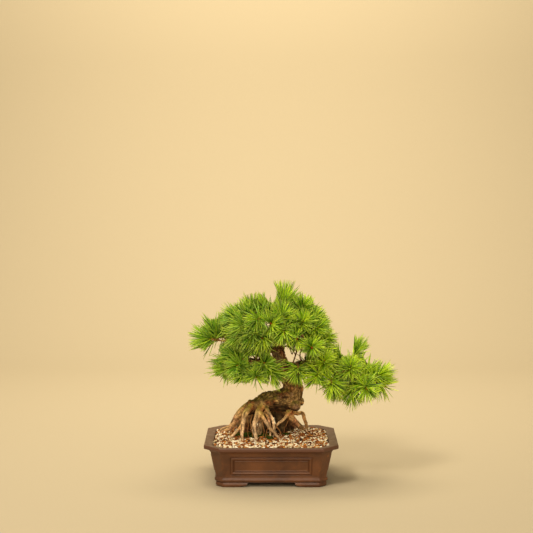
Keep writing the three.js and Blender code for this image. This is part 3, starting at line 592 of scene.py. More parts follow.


# The bark's height in millimetres, how deep in a crack it is, with painted shade in the trunk's low places,
# and the plate's own tone
def barkRelief(points, limb, sample):
    tangents, across, over = limb["axes"]
    centre, tangent = limb["line"][sample], tangents[sample]
    out = points - centre
    along = limb["length"][sample] + (out * tangent).sum(1)
    x, y = (out * across[sample]).sum(1), (out * over[sample]).sum(1)
    reach = np.maximum(np.hypot(x, y), 1e-6)
    radius = limb["radii"][sample]
    x, y = x / reach * radius, y / reach * radius
    wander = 1.4 * np.stack([softNoise(points, 5, seed) for seed in (1, 2, 3)], axis=1)
    if limb["kind"] == "root":
        grain = np.stack([along / 7, x, y], axis=1) + 0.25 * wander
        fine = softNoise(grain, 1.5, 11)
        coarse = softNoise(grain, 3.4, 12)
        flake = softNoise(points, 6, 13)
        height = wood["wrinkle"] * (0.6 * fine + coarse) + 0.35 * flake + wood["regain"]
        crack = ease(-fine - 0.5 * coarse, 0.1, 0.9)
        tone = 0.5 + 0.5 * flake
        limit = 0.16 * radius
    else:
        onTrunk = limb["kind"] == "trunk"
        size = wood["plate"] if onTrunk else wood["boughPlate"]
        deep = wood["fissure"] if onTrunk else wood["boughFissure"]
        plates = np.stack([along / 1.7, x, y], axis=1) + wander * size / 4
        nearest, second, tone = cellNoise(plates, size, 21)
        edge = ease(second - nearest, 0.04, 0.5)
        small, smallSecond, _ = cellNoise(plates, size * 0.42, 31)
        fineEdge = ease(smallSecond - small, 0.02, 0.4)
        height = deep * (edge - 0.75 + 0.5 * (tone - 0.5)) + 0.28 * deep * (fineEdge - 0.6)
        crack = np.maximum(1 - edge, 0.6 * (1 - fineEdge))
        if onTrunk:
            lumps = softNoise(points, 15, 41) + 0.55 * softNoise(points, 7, 42)
            height = height + wood["lumps"] * lumps
            # painted shade: the low places between the trunk's humps are painted dark like the cracks
            crack = np.maximum(crack, ease(-lumps, 0.2, 0.9) * 0.85)
        limit = 0.3 * radius
    return np.clip(height, -limit, limit), crack, tone


def knotRelief(points):  # a raised lip round a shallow hollow
    height = np.zeros(len(points))
    mark = np.zeros(len(points))
    for x, y, z, radius in wood["knots"]:
        away = np.linalg.norm(points - [x, y, z], axis=1) / radius
        lip = np.exp(-((away - 1) / 0.28) ** 2)
        height += radius * (0.22 * lip - 0.2 * np.exp(-(away / 0.6) ** 2))
        mark = np.maximum(mark, 0.6 * ease(1.5 - away, 0, 0.5) * ease(away, 0.2, 0.7))
    return height, mark


barkLook = {
    "plate": tint(255, 206, 132),
    "plateDull": tint(200, 154, 90),
    "moss": tint(156, 146, 52),
    "rust": tint(196, 112, 60),
    # the dark of the cracks, also used for the painted shade
    "crack": tint(22, 13, 4),
    "root": tint(242, 206, 160),
    "rootShade": tint(170, 134, 94),
    "rootCrack": tint(64, 40, 22),
    "knot": tint(160, 124, 92),
}


def barkMaterial():
    material, tree, shader, place = newMaterial("pine_bark", 0.88, 0.25)
    broad = noise(tree, place, 16, 4)
    fine = noise(tree, place, 1.6, 5, 0.65)
    tone = painted(tree, "tone")
    plates = mixColours(tree, spread(tree, tone, 0.1, 0.9), barkLook["plateDull"], barkLook["plate"])
    plates = mixColours(tree, spread(tree, broad, 0.48, 0.62, 0, 0.85), plates, barkLook["rust"])
    mossShare = times(tree, painted(tree, "moss"), spread(tree, fine, 0.35, 0.6, 0.3, 1))
    plates = mixColours(tree, mossShare, plates, barkLook["moss"])
    roots = mixColours(tree, spread(tree, broad, 0.35, 0.62), barkLook["rootShade"], barkLook["root"])
    # the cracks' own dark, with painted shade in the trunk's low places
    crack = painted(tree, "crack")
    roots = mixColours(tree, times(tree, crack, 0.8), roots, barkLook["rootCrack"])
    plates = mixColours(tree, times(tree, crack, 0.76), plates, barkLook["crack"])
    colour = mixColours(tree, painted(tree, "pale"), plates, roots)
    colour = mixColours(tree, painted(tree, "knot"), colour, barkLook["knot"])
    # painted shade from "hollow": the roots behind and the trunk's undersides go to the crack colour
    colour = mixColours(tree, painted(tree, "hollow"), colour, barkLook["crack"])
    speck = spread(tree, fine, 0.3, 0.72, 0.46, 1.52)
    patch = spread(tree, noise(tree, place, 6, 3), 0.34, 0.66, 0.56, 1.42)
    setColour(tree, shader, colour, times(tree, speck, patch))
    setRoughness(tree, shader, fine, 0.78, 0.98)
    coarse = addBump(tree, shader, noise(tree, place, 2.2, 5, 0.7), 0.6, 0.8)
    addBump(tree, shader, cells(tree, place, 1.1), 0.25, 0.6, coarse)
    return material


def smoothWood(limbs, material):  # all limbs and burrs as one softened skin
    parts = [tube(limb["line"], limb["radii"], limb["sides"], limb["swell"]) for limb in limbs]
    parts += [ball(*burr) for burr in burrs]
    mesh = makeMesh("trunk_and_roots", *joinParts(parts))
    piece = makePiece("trunk_and_roots", mesh, [material], ["tree_wood"])
    remesh = piece.modifiers.new("join", "REMESH")
    remesh.mode = "VOXEL"
    remesh.voxel_size = wood["voxel"] / 1000
    smooth = piece.modifiers.new("soften", "SMOOTH")
    smooth.factor = 0.5
    smooth.iterations = wood["smoothing"]
    applyModifiers(piece)
    return piece


def makeWood(material):
    limbs = makeLimbs()
    piece = smoothWood(limbs, material)
    mesh = piece.data
    points, normals = readPoints(mesh), readNormals(mesh)
    order, depth, sample = limbPlaces(points, limbs)
    height, crack, tone, pale, shade = np.zeros((5, len(points), 2))
    for k in range(2):
        for index, limb in enumerate(limbs):
            here = order[:, k] == index
            if here.any():
                values = barkRelief(points[here], limb, sample[here, k])
                height[here, k], crack[here, k], tone[here, k] = values
                down = limb["length"][sample[here, k]] / limb["length"][-1]
                pale[here, k] = limb.get("pale", 0) * ease(down, 0.1, 0.42)
                # painted shade on the roots behind, full from near their tops
                shade[here, k] = limb.get("shade", 0) * ease(down, 0.0, 0.12)
    share = np.clip(0.5 + (depth[:, 1] - depth[:, 0]) / (2 * wood["join"]), 0.5, 1)
    shares = np.stack([share, 1 - share], axis=1)
    knotHeight, knotMark = knotRelief(points)
    points = points + normals * ((height * shares).sum(1) + knotHeight)[:, None]
    writePoints(mesh, points)
    mossy = ease(normals[:, 2] + 0.5 * softNoise(points, 9, 51), 0.1, 0.9) * ease(points[:, 2], 85, 100)
    for key, pair in (("crack", crack), ("tone", tone), ("pale", pale)):
        paint(mesh, key, np.clip((pair * shares).sum(1), 0, 1))
    paint(mesh, "moss", np.clip(mossy, 0, 1))
    paint(mesh, "knot", knotMark)
    onTrunk = np.isin(order[:, 0], [i for i, limb in enumerate(limbs) if limb["kind"] == "trunk"])
    # painted shade, kept in "hollow": the trunk's lower faces that look down, and the thick roots behind,
    # are painted dark
    paintedUnderShade = 0.8 * ease(-normals[:, 2], 0.0, 0.7) * onTrunk * ease(points[:, 2], 140, 120)
    paint(mesh, "hollow", np.maximum((shade * shares).sum(1), paintedUnderShade))
    mesh.shade_smooth()
    report("trunk, boughs and roots", piece)


# Twigs, shoots, buds and needles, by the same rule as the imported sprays

twig = {"radius": 1.9, "tip": 1.3, "share": 0.62, "setBack": 3, "rise": 1.5, "steps": 14, "sides": 9,
        "seed": 1000, "seedStep": 50}
shoot = {"radius": 1.15, "tip": 0.95, "straight": 6, "steps": 16, "sides": 7}
bud = {"from": 2.2, "length": 6.2, "radius": 1.7, "size": (0.6, 1.05)}
needle = {
    "fascicles": (29, 34),
    "each": 5,
    "length": (0.8, 1.03),      # of the bough's own length
    "hanging": 0.1,             # how much shorter those are that point down
    "half": 0.6,                # half of the widest width
    "band": (-11.5, 3.0),       # where they leave the shoot, from the tuft's hub along it
    "lean": (86, 20),           # degrees from the aim, at the foot and at the tip of the shoot
    "closing": 0.34,            # how much less an upright tuft opens
    "spray": 9,                 # degrees between a needle and its bundle
    "bundleTone": 0.2, "ownTone": 0.34,
    "droop": 1.1,
    "rings": (0, 0.2, 0.45, 0.7, 0.9),
    "girth": (0.66, 0.94, 1.0, 0.85, 0.5),
    "sheath": 1.7, "sheathRadii": (0.7, 0.46),
}
older = {"fascicles": (8, 12), "stretch": (0.4, 1.0), "lean": (78, 52), "length": 0.86, "tone": -0.16}
# Gaps and edges kept clear of needles, from front to back: middle x and z, half width and half height
trim = {
    "fall": 0.13,               # how much a gap drops for each millimetre back
    "shortest": 0.5,            # share of a needle that is left at least, or else it goes
    "missed": 0.07,             # share of the needles left as they are
    "gaps": [(11, 182, 12, 10), (40, 176, 13, 7), (-74, 200, 10, 5), (-83, 183, 10, 11), (-104, 181, 8, 8),
             (-24, 173, 9, 5), (109, 187, 11, 10), (146, 174, 11, 9), (176, 127, 12, 10), (0, 267, 8, 12),
             (70, 257, 8, 8), (-30, 131, 36, 9), (64, 130, 12, 7), (-78, 142, 10, 6), (-84, 236, 8, 6),
             (-102, 226, 6, 6), (-88, 152, 7, 6), (42, 205, 4, 4), (-5, 222, 4, 4)],
}


def shortened(path, share):
    return path[:, :1] + (path - path[:, :1]) * share


def clearShare(path):  # how much of each needle stays out of the gaps
    clear = np.ones(len(path))
    for share in np.linspace(1, 0.2, 9):
        at = path[:, 0] + share * (path[:, -1] - path[:, 0])
        rise = at[:, 2] + trim["fall"] * at[:, 1]
        for x, z, wide, high in trim["gaps"]:
            clear[((at[:, 0] - x) / wide) ** 2 + ((rise - z) / high) ** 2 < 1] = share
    return clear


def trimNeedles(path, draw):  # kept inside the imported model's box, and out of the gaps
    lowest, highest = ((np.array(corner) - potCentre) * 1000 for corner in (cadLow, cadHigh))
    start = path[:, :1]
    run = path[:, -1:] - start
    room = np.where(run > 0, highest - 0.5 - start, lowest + 0.5 - start)
    room = room / np.where(np.abs(run) < 1e-6, 1e-6, run)
    path = shortened(path, np.minimum(1, room.min(axis=2, keepdims=True) * 0.96))
    clear = clearShare(path)
    missed = draw.uniform(0, 1, len(path)) < trim["missed"]
    kept = missed | (clear > trim["shortest"])
    return shortened(path, np.where(missed, 1, clear)[:, None, None]), kept


def leavingPlace(route, goal):  # where a spray's twig leaves its bough
    shares = np.arange(2, 31) / 30
    line, _ = pathPoints(route, shares)
    away = np.linalg.norm(line - goal, axis=1)
    best = away.argmin()
    fine, _ = smoothPath(route, 200)
    length = np.linalg.norm(np.diff(fine, axis=0), axis=1).sum()
    place, _ = pathPoints(route, [max(0, shares[best] - 0.3 * away[best] / length)])
    return place[0]


def planSpray(bough, tufts):  # the twig's route, and a shoot, a hub and an aim for each tuft
    hubs = np.array([tuft[:3] for tuft in tufts], dtype=float)
    aims = unit([tuft[3:6] for tuft in tufts])
    middle, aim = hubs.mean(axis=0), unit(aims.sum(axis=0))
    start = leavingPlace(bough["route"], middle)
    fork = blend(start, middle, twig["share"]) - aim * twig["setBack"]
    bend = blend(start, fork, 0.5) + up * twig["rise"]
    route = [[*start, twig["radius"]], [*bend, twig["radius"]], [*fork, twig["tip"]]]
    line, _ = smoothPath(route, 20)
    onward = unit(line[-1] - line[-2])
    shoots = []
    for hub, aim in zip(hubs, aims):
        begin = [fork - onward, fork + 3 * onward] if not shoots else [shoots[0][1]]
        stops = begin + [hub - shoot["straight"] * aim, hub - 2.7 * aim, hub + bud["from"] * aim]
        radii = np.linspace(shoot["radius"], shoot["tip"], len(stops))
        stops = np.column_stack([stops, radii])
        line, _ = pathPoints(stops[:4], [1 / 3])
        shoots.append((stops, line[0]))
    return route, [stops for stops, _ in shoots], hubs, aims


# Places and directions at distances from the hub along the shoot, on past it too
def alongShoot(line, hub, aim, distances):
    travelled = np.append(0, np.linalg.norm(np.diff(line, axis=0), axis=1).cumsum())
    places = travelled[-1] - bud["from"] + distances
    steps = np.stack([np.interp(places, travelled, line[:, axis]) for axis in range(3)], axis=1)
    onStraight = (distances > -shoot["straight"])[:, None]
    points = np.where(onStraight, hub + aim * distances[:, None], steps)
    before = np.stack([np.interp(places - 2, travelled, line[:, axis]) for axis in range(3)], axis=1)
    return points, unit(np.where(onStraight, aim, steps - before + 0.3 * aim))


def tuftPlaces(line, hub, aim, draw):  # where a tuft's bundles leave, which way is ahead, and their lean
    count = draw.integers(*needle["fascicles"])
    share = np.arange(count) / (count - 1)
    centre, ahead = alongShoot(line, hub, aim, blend(*needle["band"], share ** 0.8))
    lean = blend(*needle["lean"], share ** 0.85) * (1 - needle["closing"] * ease(aim[2], 0.7, 1))
    return centre, ahead, lean + draw.normal(0, 6, count)


def twigPlaces(line, draw):  # the same for last year's needles
    count = draw.integers(*older["fascicles"])
    share = (np.arange(count) + draw.uniform(0, 1, count)) / count
    place = blend(*older["stretch"], share) * (len(line) - 1)
    rows = np.minimum(place.astype(int), len(line) - 2)
    step = line[rows + 1] - line[rows]
    lean = blend(*older["lean"], share) + draw.normal(0, 8, count)
    return line[rows] + step * (place - rows)[:, None], unit(step), lean


# The middle lines of bundled needles, which way each needle faces out, and the bundles themselves
def needleBlades(centre, ahead, lean, draw, longest):
    count = len(centre)
    side = unit(np.cross(ahead, squareTo(unit(ahead.sum(axis=0)))))
    other = np.cross(ahead, side)
    turn = np.arange(count) * goldenTurn + draw.uniform(0, 6.3)
    radial = np.cos(turn)[:, None] * side + np.sin(turn)[:, None] * other
    base = centre + radial * shoot["tip"]
    lean = np.radians(lean)
    main = unit(np.cos(lean)[:, None] * ahead + np.sin(lean)[:, None] * radial)
    length = longest * draw.uniform(*needle["length"], count)
    length *= 1 - needle["hanging"] * ease(-main[:, 2], 0.1, 0.9)
    # each bundle's needles stand round its own line
    first = unit(np.cross(main, radial + 0.01 * ahead))
    second = np.cross(main, first)
    bundle = np.repeat(np.arange(count), needle["each"])
    around = np.tile(np.arange(needle["each"]), count) * 2 * math.pi / needle["each"]
    around = around + np.repeat(draw.uniform(0, 6.3, count), needle["each"])
    number = len(bundle)
    outward = np.cos(around)[:, None] * first[bundle] + np.sin(around)[:, None] * second[bundle]
    opening = np.tan(np.radians(needle["spray"] * draw.uniform(0.55, 1.3, number)))
    sway = draw.normal(0, 1.3, (number, 3))
    size = length[bundle] * draw.uniform(0.9, 1.04, number)
    s = np.array(needle["rings"] + (1.0,))[None, :, None]
    path = main[bundle][:, None] * s * size[:, None, None]
    path = path + outward[:, None] * (opening * size)[:, None, None] * (0.55 * s + 0.55 * s * s)
    path = path + (sway[:, None] - up * needle["droop"]) * s * s
    path = path + base[bundle][:, None] + 0.25 * outward[:, None] * (1 - s)
    path, kept = trimNeedles(path, draw)
    return path[kept], outward[kept], main, base, bundle[kept]


# Three-sided blades, with a mark for the sides that face their bundle and how far along each point is
def bladeMesh(path, outward, halfWidth):
    number, rings = path.shape[0], path.shape[1] - 1
    direction = unit(path[:, -1] - path[:, 0])
    outward = unit(outward - direction * (outward * direction).sum(1, keepdims=True))
    across = np.cross(direction, outward)
    girth = np.array(needle["girth"])[None, :, None] * halfWidth[:, None, None]
    centre = path[:, :-1]
    corners = [centre - outward[:, None] * girth * 0.95,
               centre + outward[:, None] * girth * 0.55 - across[:, None] * girth,
               centre + outward[:, None] * girth * 0.55 + across[:, None] * girth]
    body = np.stack(corners, axis=2).reshape(number, rings * 3, 3)
    points = np.concatenate([body, path[:, -1:]], axis=1)
    quads, tris, inner = [], [], []
    for ring in range(rings - 1):
        for i in range(3):
            a, b = ring * 3 + i, ring * 3 + (i + 1) % 3
            quads.append((a, b, b + 3, a + 3))
            inner.append(0 if i == 1 else 1)
    for i in range(3):
        tris.append(((rings - 1) * 3 + i, (rings - 1) * 3 + (i + 1) % 3, rings * 3))
        inner.append(0 if i == 1 else 1)
    tris.append((2, 1, 0))
    inner.append(0)
    starts = np.arange(number)[:, None, None] * (rings * 3 + 1)
    faces = (np.array(quads) + starts).reshape(-1, 4).tolist()
    faces += (np.array(tris) + starts).reshape(-1, 3).tolist()
    quadInner = np.tile(inner[:len(quads)], number)
    triInner = np.tile(inner[len(quads):], number)
    along = np.append(np.repeat(needle["rings"], 3), 1.0)
    return points.reshape(-1, 3), faces, np.concatenate([quadInner, triInner]), np.tile(along, number)


def budShape(hub, aim, draw, size):
    rows, sides = 9, 10
    share = np.linspace(0, 1, rows)
    outline = bud["radius"] * size * np.sin(np.pi * np.clip(share * 0.86 + 0.14, 0, 1)) ** 0.75
    centre = hub + aim * (bud["from"] + bud["length"] * size * share)[:, None]
    turns = 2 * math.pi * np.arange(sides) / sides
    scales = 1 + 0.13 * np.sin(5 * turns[None] + 14 * share[:, None] + draw.uniform(0, 6))
    return tube(centre, np.maximum(outline, 0.08), sides, drawnOut=0.6, ripple=scales)


needleLook = {
    "foot": tint(150, 140, 34),
    "dark": tint(14, 48, 0),
    "mid": tint(106, 158, 4),
    "bright": tint(206, 232, 36),
    "blue": tint(70, 142, 46),
    "stripe": tint(192, 218, 100),
    "tip": tint(206, 196, 84),
}


def needleMaterial():
    material, tree, shader, place = newMaterial("pine_needles", 0.42, 0.22)
    along, tone = painted(tree, "along"), painted(tree, "tone")
    stops = [(0.0, needleLook["dark"]), (0.5, needleLook["mid"]), (1.0, needleLook["bright"])]
    green = mixColours(tree, painted(tree, "blue"), ramp(tree, tone, stops), needleLook["blue"])
    stripe = times(tree, painted(tree, "inner"), 0.42)
    green = mixColours(tree, stripe, green, needleLook["stripe"])
    green = mixColours(tree, spread(tree, along, 0.0, 0.16, 0.7, 0), green, needleLook["foot"])
    green = mixColours(tree, spread(tree, along, 0.82, 1.0, 0, 0.6), green, needleLook["tip"])
    setColour(tree, shader, green, spread(tree, noise(tree, place, 2.5, 4), 0.3, 0.7, 0.82, 1.16))
    setRoughness(tree, shader, noise(tree, place, 4), 0.36, 0.55)
    addBump(tree, shader, noise(tree, place, 0.5, 2), 0.05, 0.5)
    return material


shootLook = {"bark": tint(122, 88, 52), "young": tint(158, 106, 52), "bud": tint(190, 92, 34),
             "sheath": tint(170, 136, 66)}
# Where each is on the stems' colour ramp, or below 0 for a needle
stemKinds = {"needle": -1.0, "shoot": 0.3, "sheath": 0.5, "bud": 1.0}
# fixed bark marks for the twigs, with no painted shade in "hollow"
twigPaint = {"crack": 0.15, "tone": 0.4, "pale": 0.12, "moss": 0.2, "knot": 0, "hollow": 0}


def shootMaterial():
    material, tree, shader, place = newMaterial("young_shoots", 0.7, 0.3)
    stops = [(0.0, shootLook["bark"]), (stemKinds["shoot"], shootLook["young"]),
             (stemKinds["sheath"], shootLook["sheath"]), (stemKinds["bud"], shootLook["bud"])]
    colour = ramp(tree, painted(tree, "kind"), stops)
    setColour(tree, shader, colour, spread(tree, noise(tree, place, 1.2, 4), 0.3, 0.7, 0.7, 1.25))
    addBump(tree, shader, cells(tree, place, 0.9), 0.25, 0.7)
    return material


def scarredTube(line, radii, sides, draw, rough):  # a twig with old needle scars
    ripple = 1 + rough * draw.uniform(-1, 1, (len(line), sides))
    ripple *= 1 + 0.5 * rough * np.sin(np.arange(len(line)) * 2.6)[:, None]
    return tube(np.asarray(line), radii, sides, ripple=ripple)


# How bright and how blue a tuft is: fresh at the front and the right, bluer at the left
def sprayTone(hub):
    x, y, z = hub
    bright = 0.6 - 0.0006 * (z - 185) + 0.0012 * (x - 20) - 0.0012 * (y + 15)
    bright += 0.1 * ease(-x, 20, 70) + 0.14 * ease(180 - z, 0, 20) * ease(-x, -10, 10)
    return bright, 0.34 * ease(-x, -5, 55) * ease(250 - z, 0, 30)


# One spray's twig, its stems as shapes with a kind, and its lots of needles
def growSpray(bough, tufts, draw):
    route, shoots, hubs, aims = planSpray(bough, tufts)
    line, radii = smoothPath(route, twig["steps"])
    twigShape = scarredTube(line, radii, twig["sides"], draw, 0.13)
    bright, blue = sprayTone(hubs[0])
    longest = bough["needles"] * older["length"]
    lots = [(twigPlaces(line, draw), longest, bright + older["tone"], blue)]
    stems = []
    for tuft, stops, hub, aim in zip(tufts, shoots, hubs, aims):
        bright, blue = sprayTone(hub)
        longest = tuft[6] if len(tuft) > 6 else bough["needles"]
        line, radii = smoothPath(stops, shoot["steps"])
        places = tuftPlaces(line, hub, aim, draw)
        lots.append((places, longest, bright + draw.uniform(-0.1, 0.1), blue))
        stems.append((scarredTube(line, radii, shoot["sides"], draw, 0.12), stemKinds["shoot"]))
        stems.append((budShape(hub, aim, draw, draw.uniform(*bud["size"])), stemKinds["bud"]))
    return twigShape, stems, lots


def dressSpray(stems, lots, draw):  # the spray's shapes, and what is painted on their faces and points
    parts, kinds, inner, marks = [], [], [], {"along": [], "tone": [], "blue": []}
    for places, longest, bright, blue in lots:
        path, outward, main, base, bundle = needleBlades(*places, draw, longest)
        half = needle["half"] * draw.uniform(0.85, 1.12, len(path))
        points, faces, sides, along = bladeMesh(path, outward, half)
        tone = bright + draw.normal(0, needle["bundleTone"], len(main))[bundle]
        tone = np.clip(tone + draw.normal(0, needle["ownTone"], len(path)), 0, 1)
        parts.append((points, faces))
        kinds.append(np.full(len(faces), stemKinds["needle"]))
        inner.append(sides)
        marks["along"].append(along)
        marks["tone"].append(np.repeat(tone, len(points) // len(path)))
        marks["blue"].append(np.full(len(points), np.clip(blue, 0, 1)))
        for start, direction in zip(base, main):
            ends = np.array([start - 0.9 * direction, start + needle["sheath"] * direction])
            stems.append((tube(ends, needle["sheathRadii"], 4, drawnOut=0.1), stemKinds["sheath"]))
    for shape, kind in stems:
        parts.append(shape)
        kinds.append(np.full(len(shape[1]), kind))
        inner.append(np.zeros(len(shape[1])))
        for mark in marks.values():
            mark.append(np.zeros(len(shape[0])))
    marks = {key: np.concatenate(values) for key, values in marks.items()}
    return parts, np.concatenate(kinds), np.concatenate(inner), marks


def makeSprays(leafMaterial, stemMaterial, barkSurface):
    pieces, twigs = [], []
    for boughIndex, (boughName, bough) in enumerate(boughs.items()):
        for index, tufts in enumerate(bough["sprays"]):
            draw = np.random.default_rng(twig["seed"] + twig["seedStep"] * boughIndex + index)
            twigShape, stems, lots = growSpray(bough, tufts, draw)
            twigs.append(twigShape)
            parts, kinds, inner, marks = dressSpray(stems, lots, draw)
            name = f"{boughName}_{index + 1}"
            mesh = makeMesh(f"needles_{name}", *joinParts(parts))
            piece = makePiece(f"needles_{name}", mesh, [leafMaterial, stemMaterial],
                              [f"spray_{name}"])
            mesh.polygons.foreach_set("material_index", (kinds >= 0).astype(np.int32))
            paint(mesh, "kind", np.maximum(kinds, 0), "FACE")
            paint(mesh, "inner", inner, "FACE")
            for key, values in marks.items():
                paint(mesh, key, values)
            mesh.update()
            pieces.append(piece)
    mesh = makeMesh("twigs", *joinParts(twigs))
    twigPiece = makePiece("twigs", mesh, [barkSurface], ["tree_wood"], 50)
    for key, value in twigPaint.items():
        paint(mesh, key, value)
    report("sprays of needles", *pieces)
    report("twigs", twigPiece)


# The pot, lofted through levels of one plan: a rectangle with cut corners

pot = {
    "width": 190, "deeper": 26, "height": 59,
    "rimCorner": 22, "bodyCorner": 14, "footCorner": 10,
    "bodyTopWidth": 170, "bodyFootWidth": 155.5, "bodyTop": 46, "beltTop": 13.2,
    "lip": 12, "lipFall": 1.4, "lipCorner": 17, "rimBand": 5.5,
    "wall": 6, "floor": 5.5, "underside": 6.6,
    "roundness": 3.2,        # of the upright corners
    "drainRadius": 8, "drainOffset": 38,
}
panel = {"front": 57.0, "side": 44.0, "foot": 18.1, "top": 44.0, "bead": 4.0, "proud": 1.8, "groove": 0.4,
         "line": 0.6}
# Each foot's curve by distances from its inner end, with heights
feet = {"reach": 30.5, "spread": 14.6, "inset": 14, "heel": 0.8, "hollow": (3, 1.5), "tread": (9, 1.8),
        "swell": (12.8, 2.4), "shoulder": (0.8, 5.2)}
# The belt from the ground up: height, how much wider than the body's foot, how much longer the cut corner
belt = [(0, -3.4, -0.6), (0.25, -1.6, -0.4), (0.8, -0.2, -0.2), (1.8, 0.9, 0), (3.0, 1.4, 0.2),
        (4.2, 1.2, 0.2), (5.4, 0.4, 0), (6.2, -0.6, 0), (6.7, -1.1, -0.2), (7.1, -1.0, -0.2), (7.4, 0.2, 0),
        (7.8, 1.8, 0.3), (8.4, 3.2, 0.6), (9.2, 4.1, 0.8), (10.1, 4.4, 1), (11, 4.2, 1), (11.8, 3.4, 0.8),
        (12.4, 2.3, 0.6), (12.9, 1.2, 0.4), (13.3, 0.6, 0.4), (13.9, 0.3, 0.3)]
# Distances in from a panel's edge at which its moulding is drawn
panelSteps = [-1.3, -0.85, -0.45, -0.1, 0.15, 0.5, 1.0, 1.6, 2.2, 2.8, 3.4, 3.8, 4.0, 4.2, 4.6, 4.95, 5.3,
              5.6, 6.0, 6.5]


def panelProfile(d):  # height of the moulding by the distance in from its outer edge
    bead = panel["proud"] * np.sin(np.pi * np.clip(d / panel["bead"], 0, 1)) ** 0.7
    within = d - panel["bead"]
    grooves = np.exp(-((d + 0.45) / 0.4) ** 2) + np.exp(-((within - 0.45) / 0.4) ** 2)
    line = np.exp(-((within - 1.55) / 0.42) ** 2)
    return bead - panel["groove"] * grooves + panel["line"] * line


def railStations(half):  # close columns over a rail, wide ones between
    inside = [half - d for d in panelSteps]
    between = list(np.arange(inside[-1] - 7, 0, -7))
    places = sorted(inside + between)
    return [-x for x in reversed(places)] + [0.0] + places


stations = {face: railStations(panel[face]) for face in ("front", "side")}


def cutRectangle(width, corner):  # its eight corners, anticlockwise from the front's right end
    x, y = width / 2, (width - pot["deeper"]) / 2
    return np.array([(x - corner, -y), (x, corner - y), (x, y - corner), (x - corner, y),
                     (corner - x, y), (-x, y - corner), (-x, corner - y), (corner - x, -y)])


def planRing(width, corner):  # rounded at the corners, with columns on the four faces
    corners = cutRectangle(width, corner)
    cut = pot["roundness"] * math.tan(math.radians(22.5))
    ring = []
    for i, here in enumerate(corners):
        before, after = corners[i - 1], corners[(i + 1) % 8]
        start, end = here + unit(before - here) * cut, here + unit(after - here) * cut
        for t in (0, 0.25, 0.5, 0.75, 1):
            ring.append(start * (1 - t) ** 2 + here * 2 * t * (1 - t) + end * t ** 2)
        face = {1: "side", 3: "front", 5: "side", 7: "front"}.get(i)
        if face:
            middle, forward = (here + after) / 2, unit(after - here)
            ring.extend(middle + forward * s for s in stations[face])
        else:
            ring.extend(blend(end, here + after - end, t) for t in (0.25, 0.5, 0.75))
    return np.array(ring)


def potLevels():  # height, width and cut corner of each level, up the outside and down the inside
    body, bandFoot = pot["bodyFootWidth"], pot["height"] - pot["rimBand"]
    levels = [(z, body + wider, pot["footCorner"] + longer) for z, wider, longer in belt]
    heights = [panel["foot"] + d for d in panelSteps] + [25.5, 28.5, 31.5, 34.5]
    heights += [panel["top"] - d for d in panelSteps]
    for z in sorted(heights):
        share = (z - pot["beltTop"]) / (pot["bodyTop"] - pot["beltTop"])
        levels.append((z, blend(body, pot["bodyTopWidth"], share),
                       blend(pot["footCorner"] + 0.4, pot["bodyCorner"], share)))
    for turn in range(0, 91, 10):  # the hollow curve under the rim
        rise, flare = math.sin(math.radians(turn)), 1 - math.cos(math.radians(turn))
        levels.append((blend(pot["bodyTop"] + 0.2, bandFoot, rise),
                       blend(pot["bodyTopWidth"], pot["width"] - 3, flare),
                       blend(pot["bodyCorner"], pot["rimCorner"] - 0.5, flare)))
    width, corner, top = pot["width"], pot["rimCorner"], pot["height"]
    levels += [(bandFoot + 0.1, width - 1.8, corner - 0.3), (bandFoot + 0.45, width - 0.6, corner - 0.1)]
    levels += [(z, width, corner) for z in (bandFoot + 1, bandFoot + 2.2, bandFoot + 3.4, top - 1.2)]
    levels += [(top - 0.6, width - 0.3, corner), (top - 0.2, width - 1.1, corner - 0.3),
               (top, width - 2.4, corner - 0.5), (top, width - 5, corner - 1.2)]
    inner, innerCorner = width - 2 * pot["lip"], pot["lipCorner"]
    lipFoot = top - pot["lipFall"]
    for share in (0.25, 0.5, 0.75, 0.93):
        levels.append((blend(top, lipFoot, share), blend(width - 5, inner, share),
                       blend(corner - 1.2, innerCorner, share)))
    levels += [(lipFoot - 0.3, inner - 0.5, innerCorner), (lipFoot - 1.2, inner - 0.9, innerCorner)]
    wall, ground = pot["wall"], pot["underside"] + pot["floor"]
    levels += [(pot["bodyTop"], pot["bodyTopWidth"] - 2 * wall, pot["bodyCorner"]),
               (ground + 4, body - 2 * wall + 1, pot["footCorner"]),
               (ground + 1, body - 2 * wall - 1, pot["footCorner"]),
               (ground, body - 2 * wall - 6, pot["footCorner"] - 2)]
    return levels


def facePlace(points):  # how far along its face each point is, and which face
    x, y = points[:, 0], points[:, 1]
    onSide = np.abs(x) > np.abs(y) + pot["deeper"] / 2
    return np.where(onSide, y, x), onSide


# The space between two feet, with a curved step at each end
def footGap(half, length, turned):
    inner, top = half - feet["spread"], pot["underside"]

    def curve(start, bend, end):
        t = np.linspace(0, 1, 9)[1:, None]
        return [tuple(p) for p in start * (1 - t) ** 2 + bend * 2 * t * (1 - t) + end * t ** 2]

    heel = np.array([half, feet["heel"]])
    hollow, tread, swell = (np.array([half - feet[part][0], feet[part][1]])
                            for part in ("hollow", "tread", "swell"))
    shoulder = (inner, 0) + np.array(feet["shoulder"])
    right = [(half, -2), tuple(heel)] + curve(heel, hollow, tread) + curve(tread, swell, shoulder)
    right.append((inner, top))
    outline = right + [(-x, z) for x, z in reversed(right)]
    near = [(x, -length, z) for x, z in outline]
    far = [(x, length, z) for x, z in outline]
    points = np.array(near + far)
    if turned:
        points = points[:, [1, 0, 2]] * [-1, 1, 1]
    count = len(outline)
    faces = [tuple(range(count)), tuple(range(2 * count - 1, count - 1, -1))]
    faces += [(i, i + count, (i + 1) % count + count, (i + 1) % count) for i in range(count)]
    return points, faces


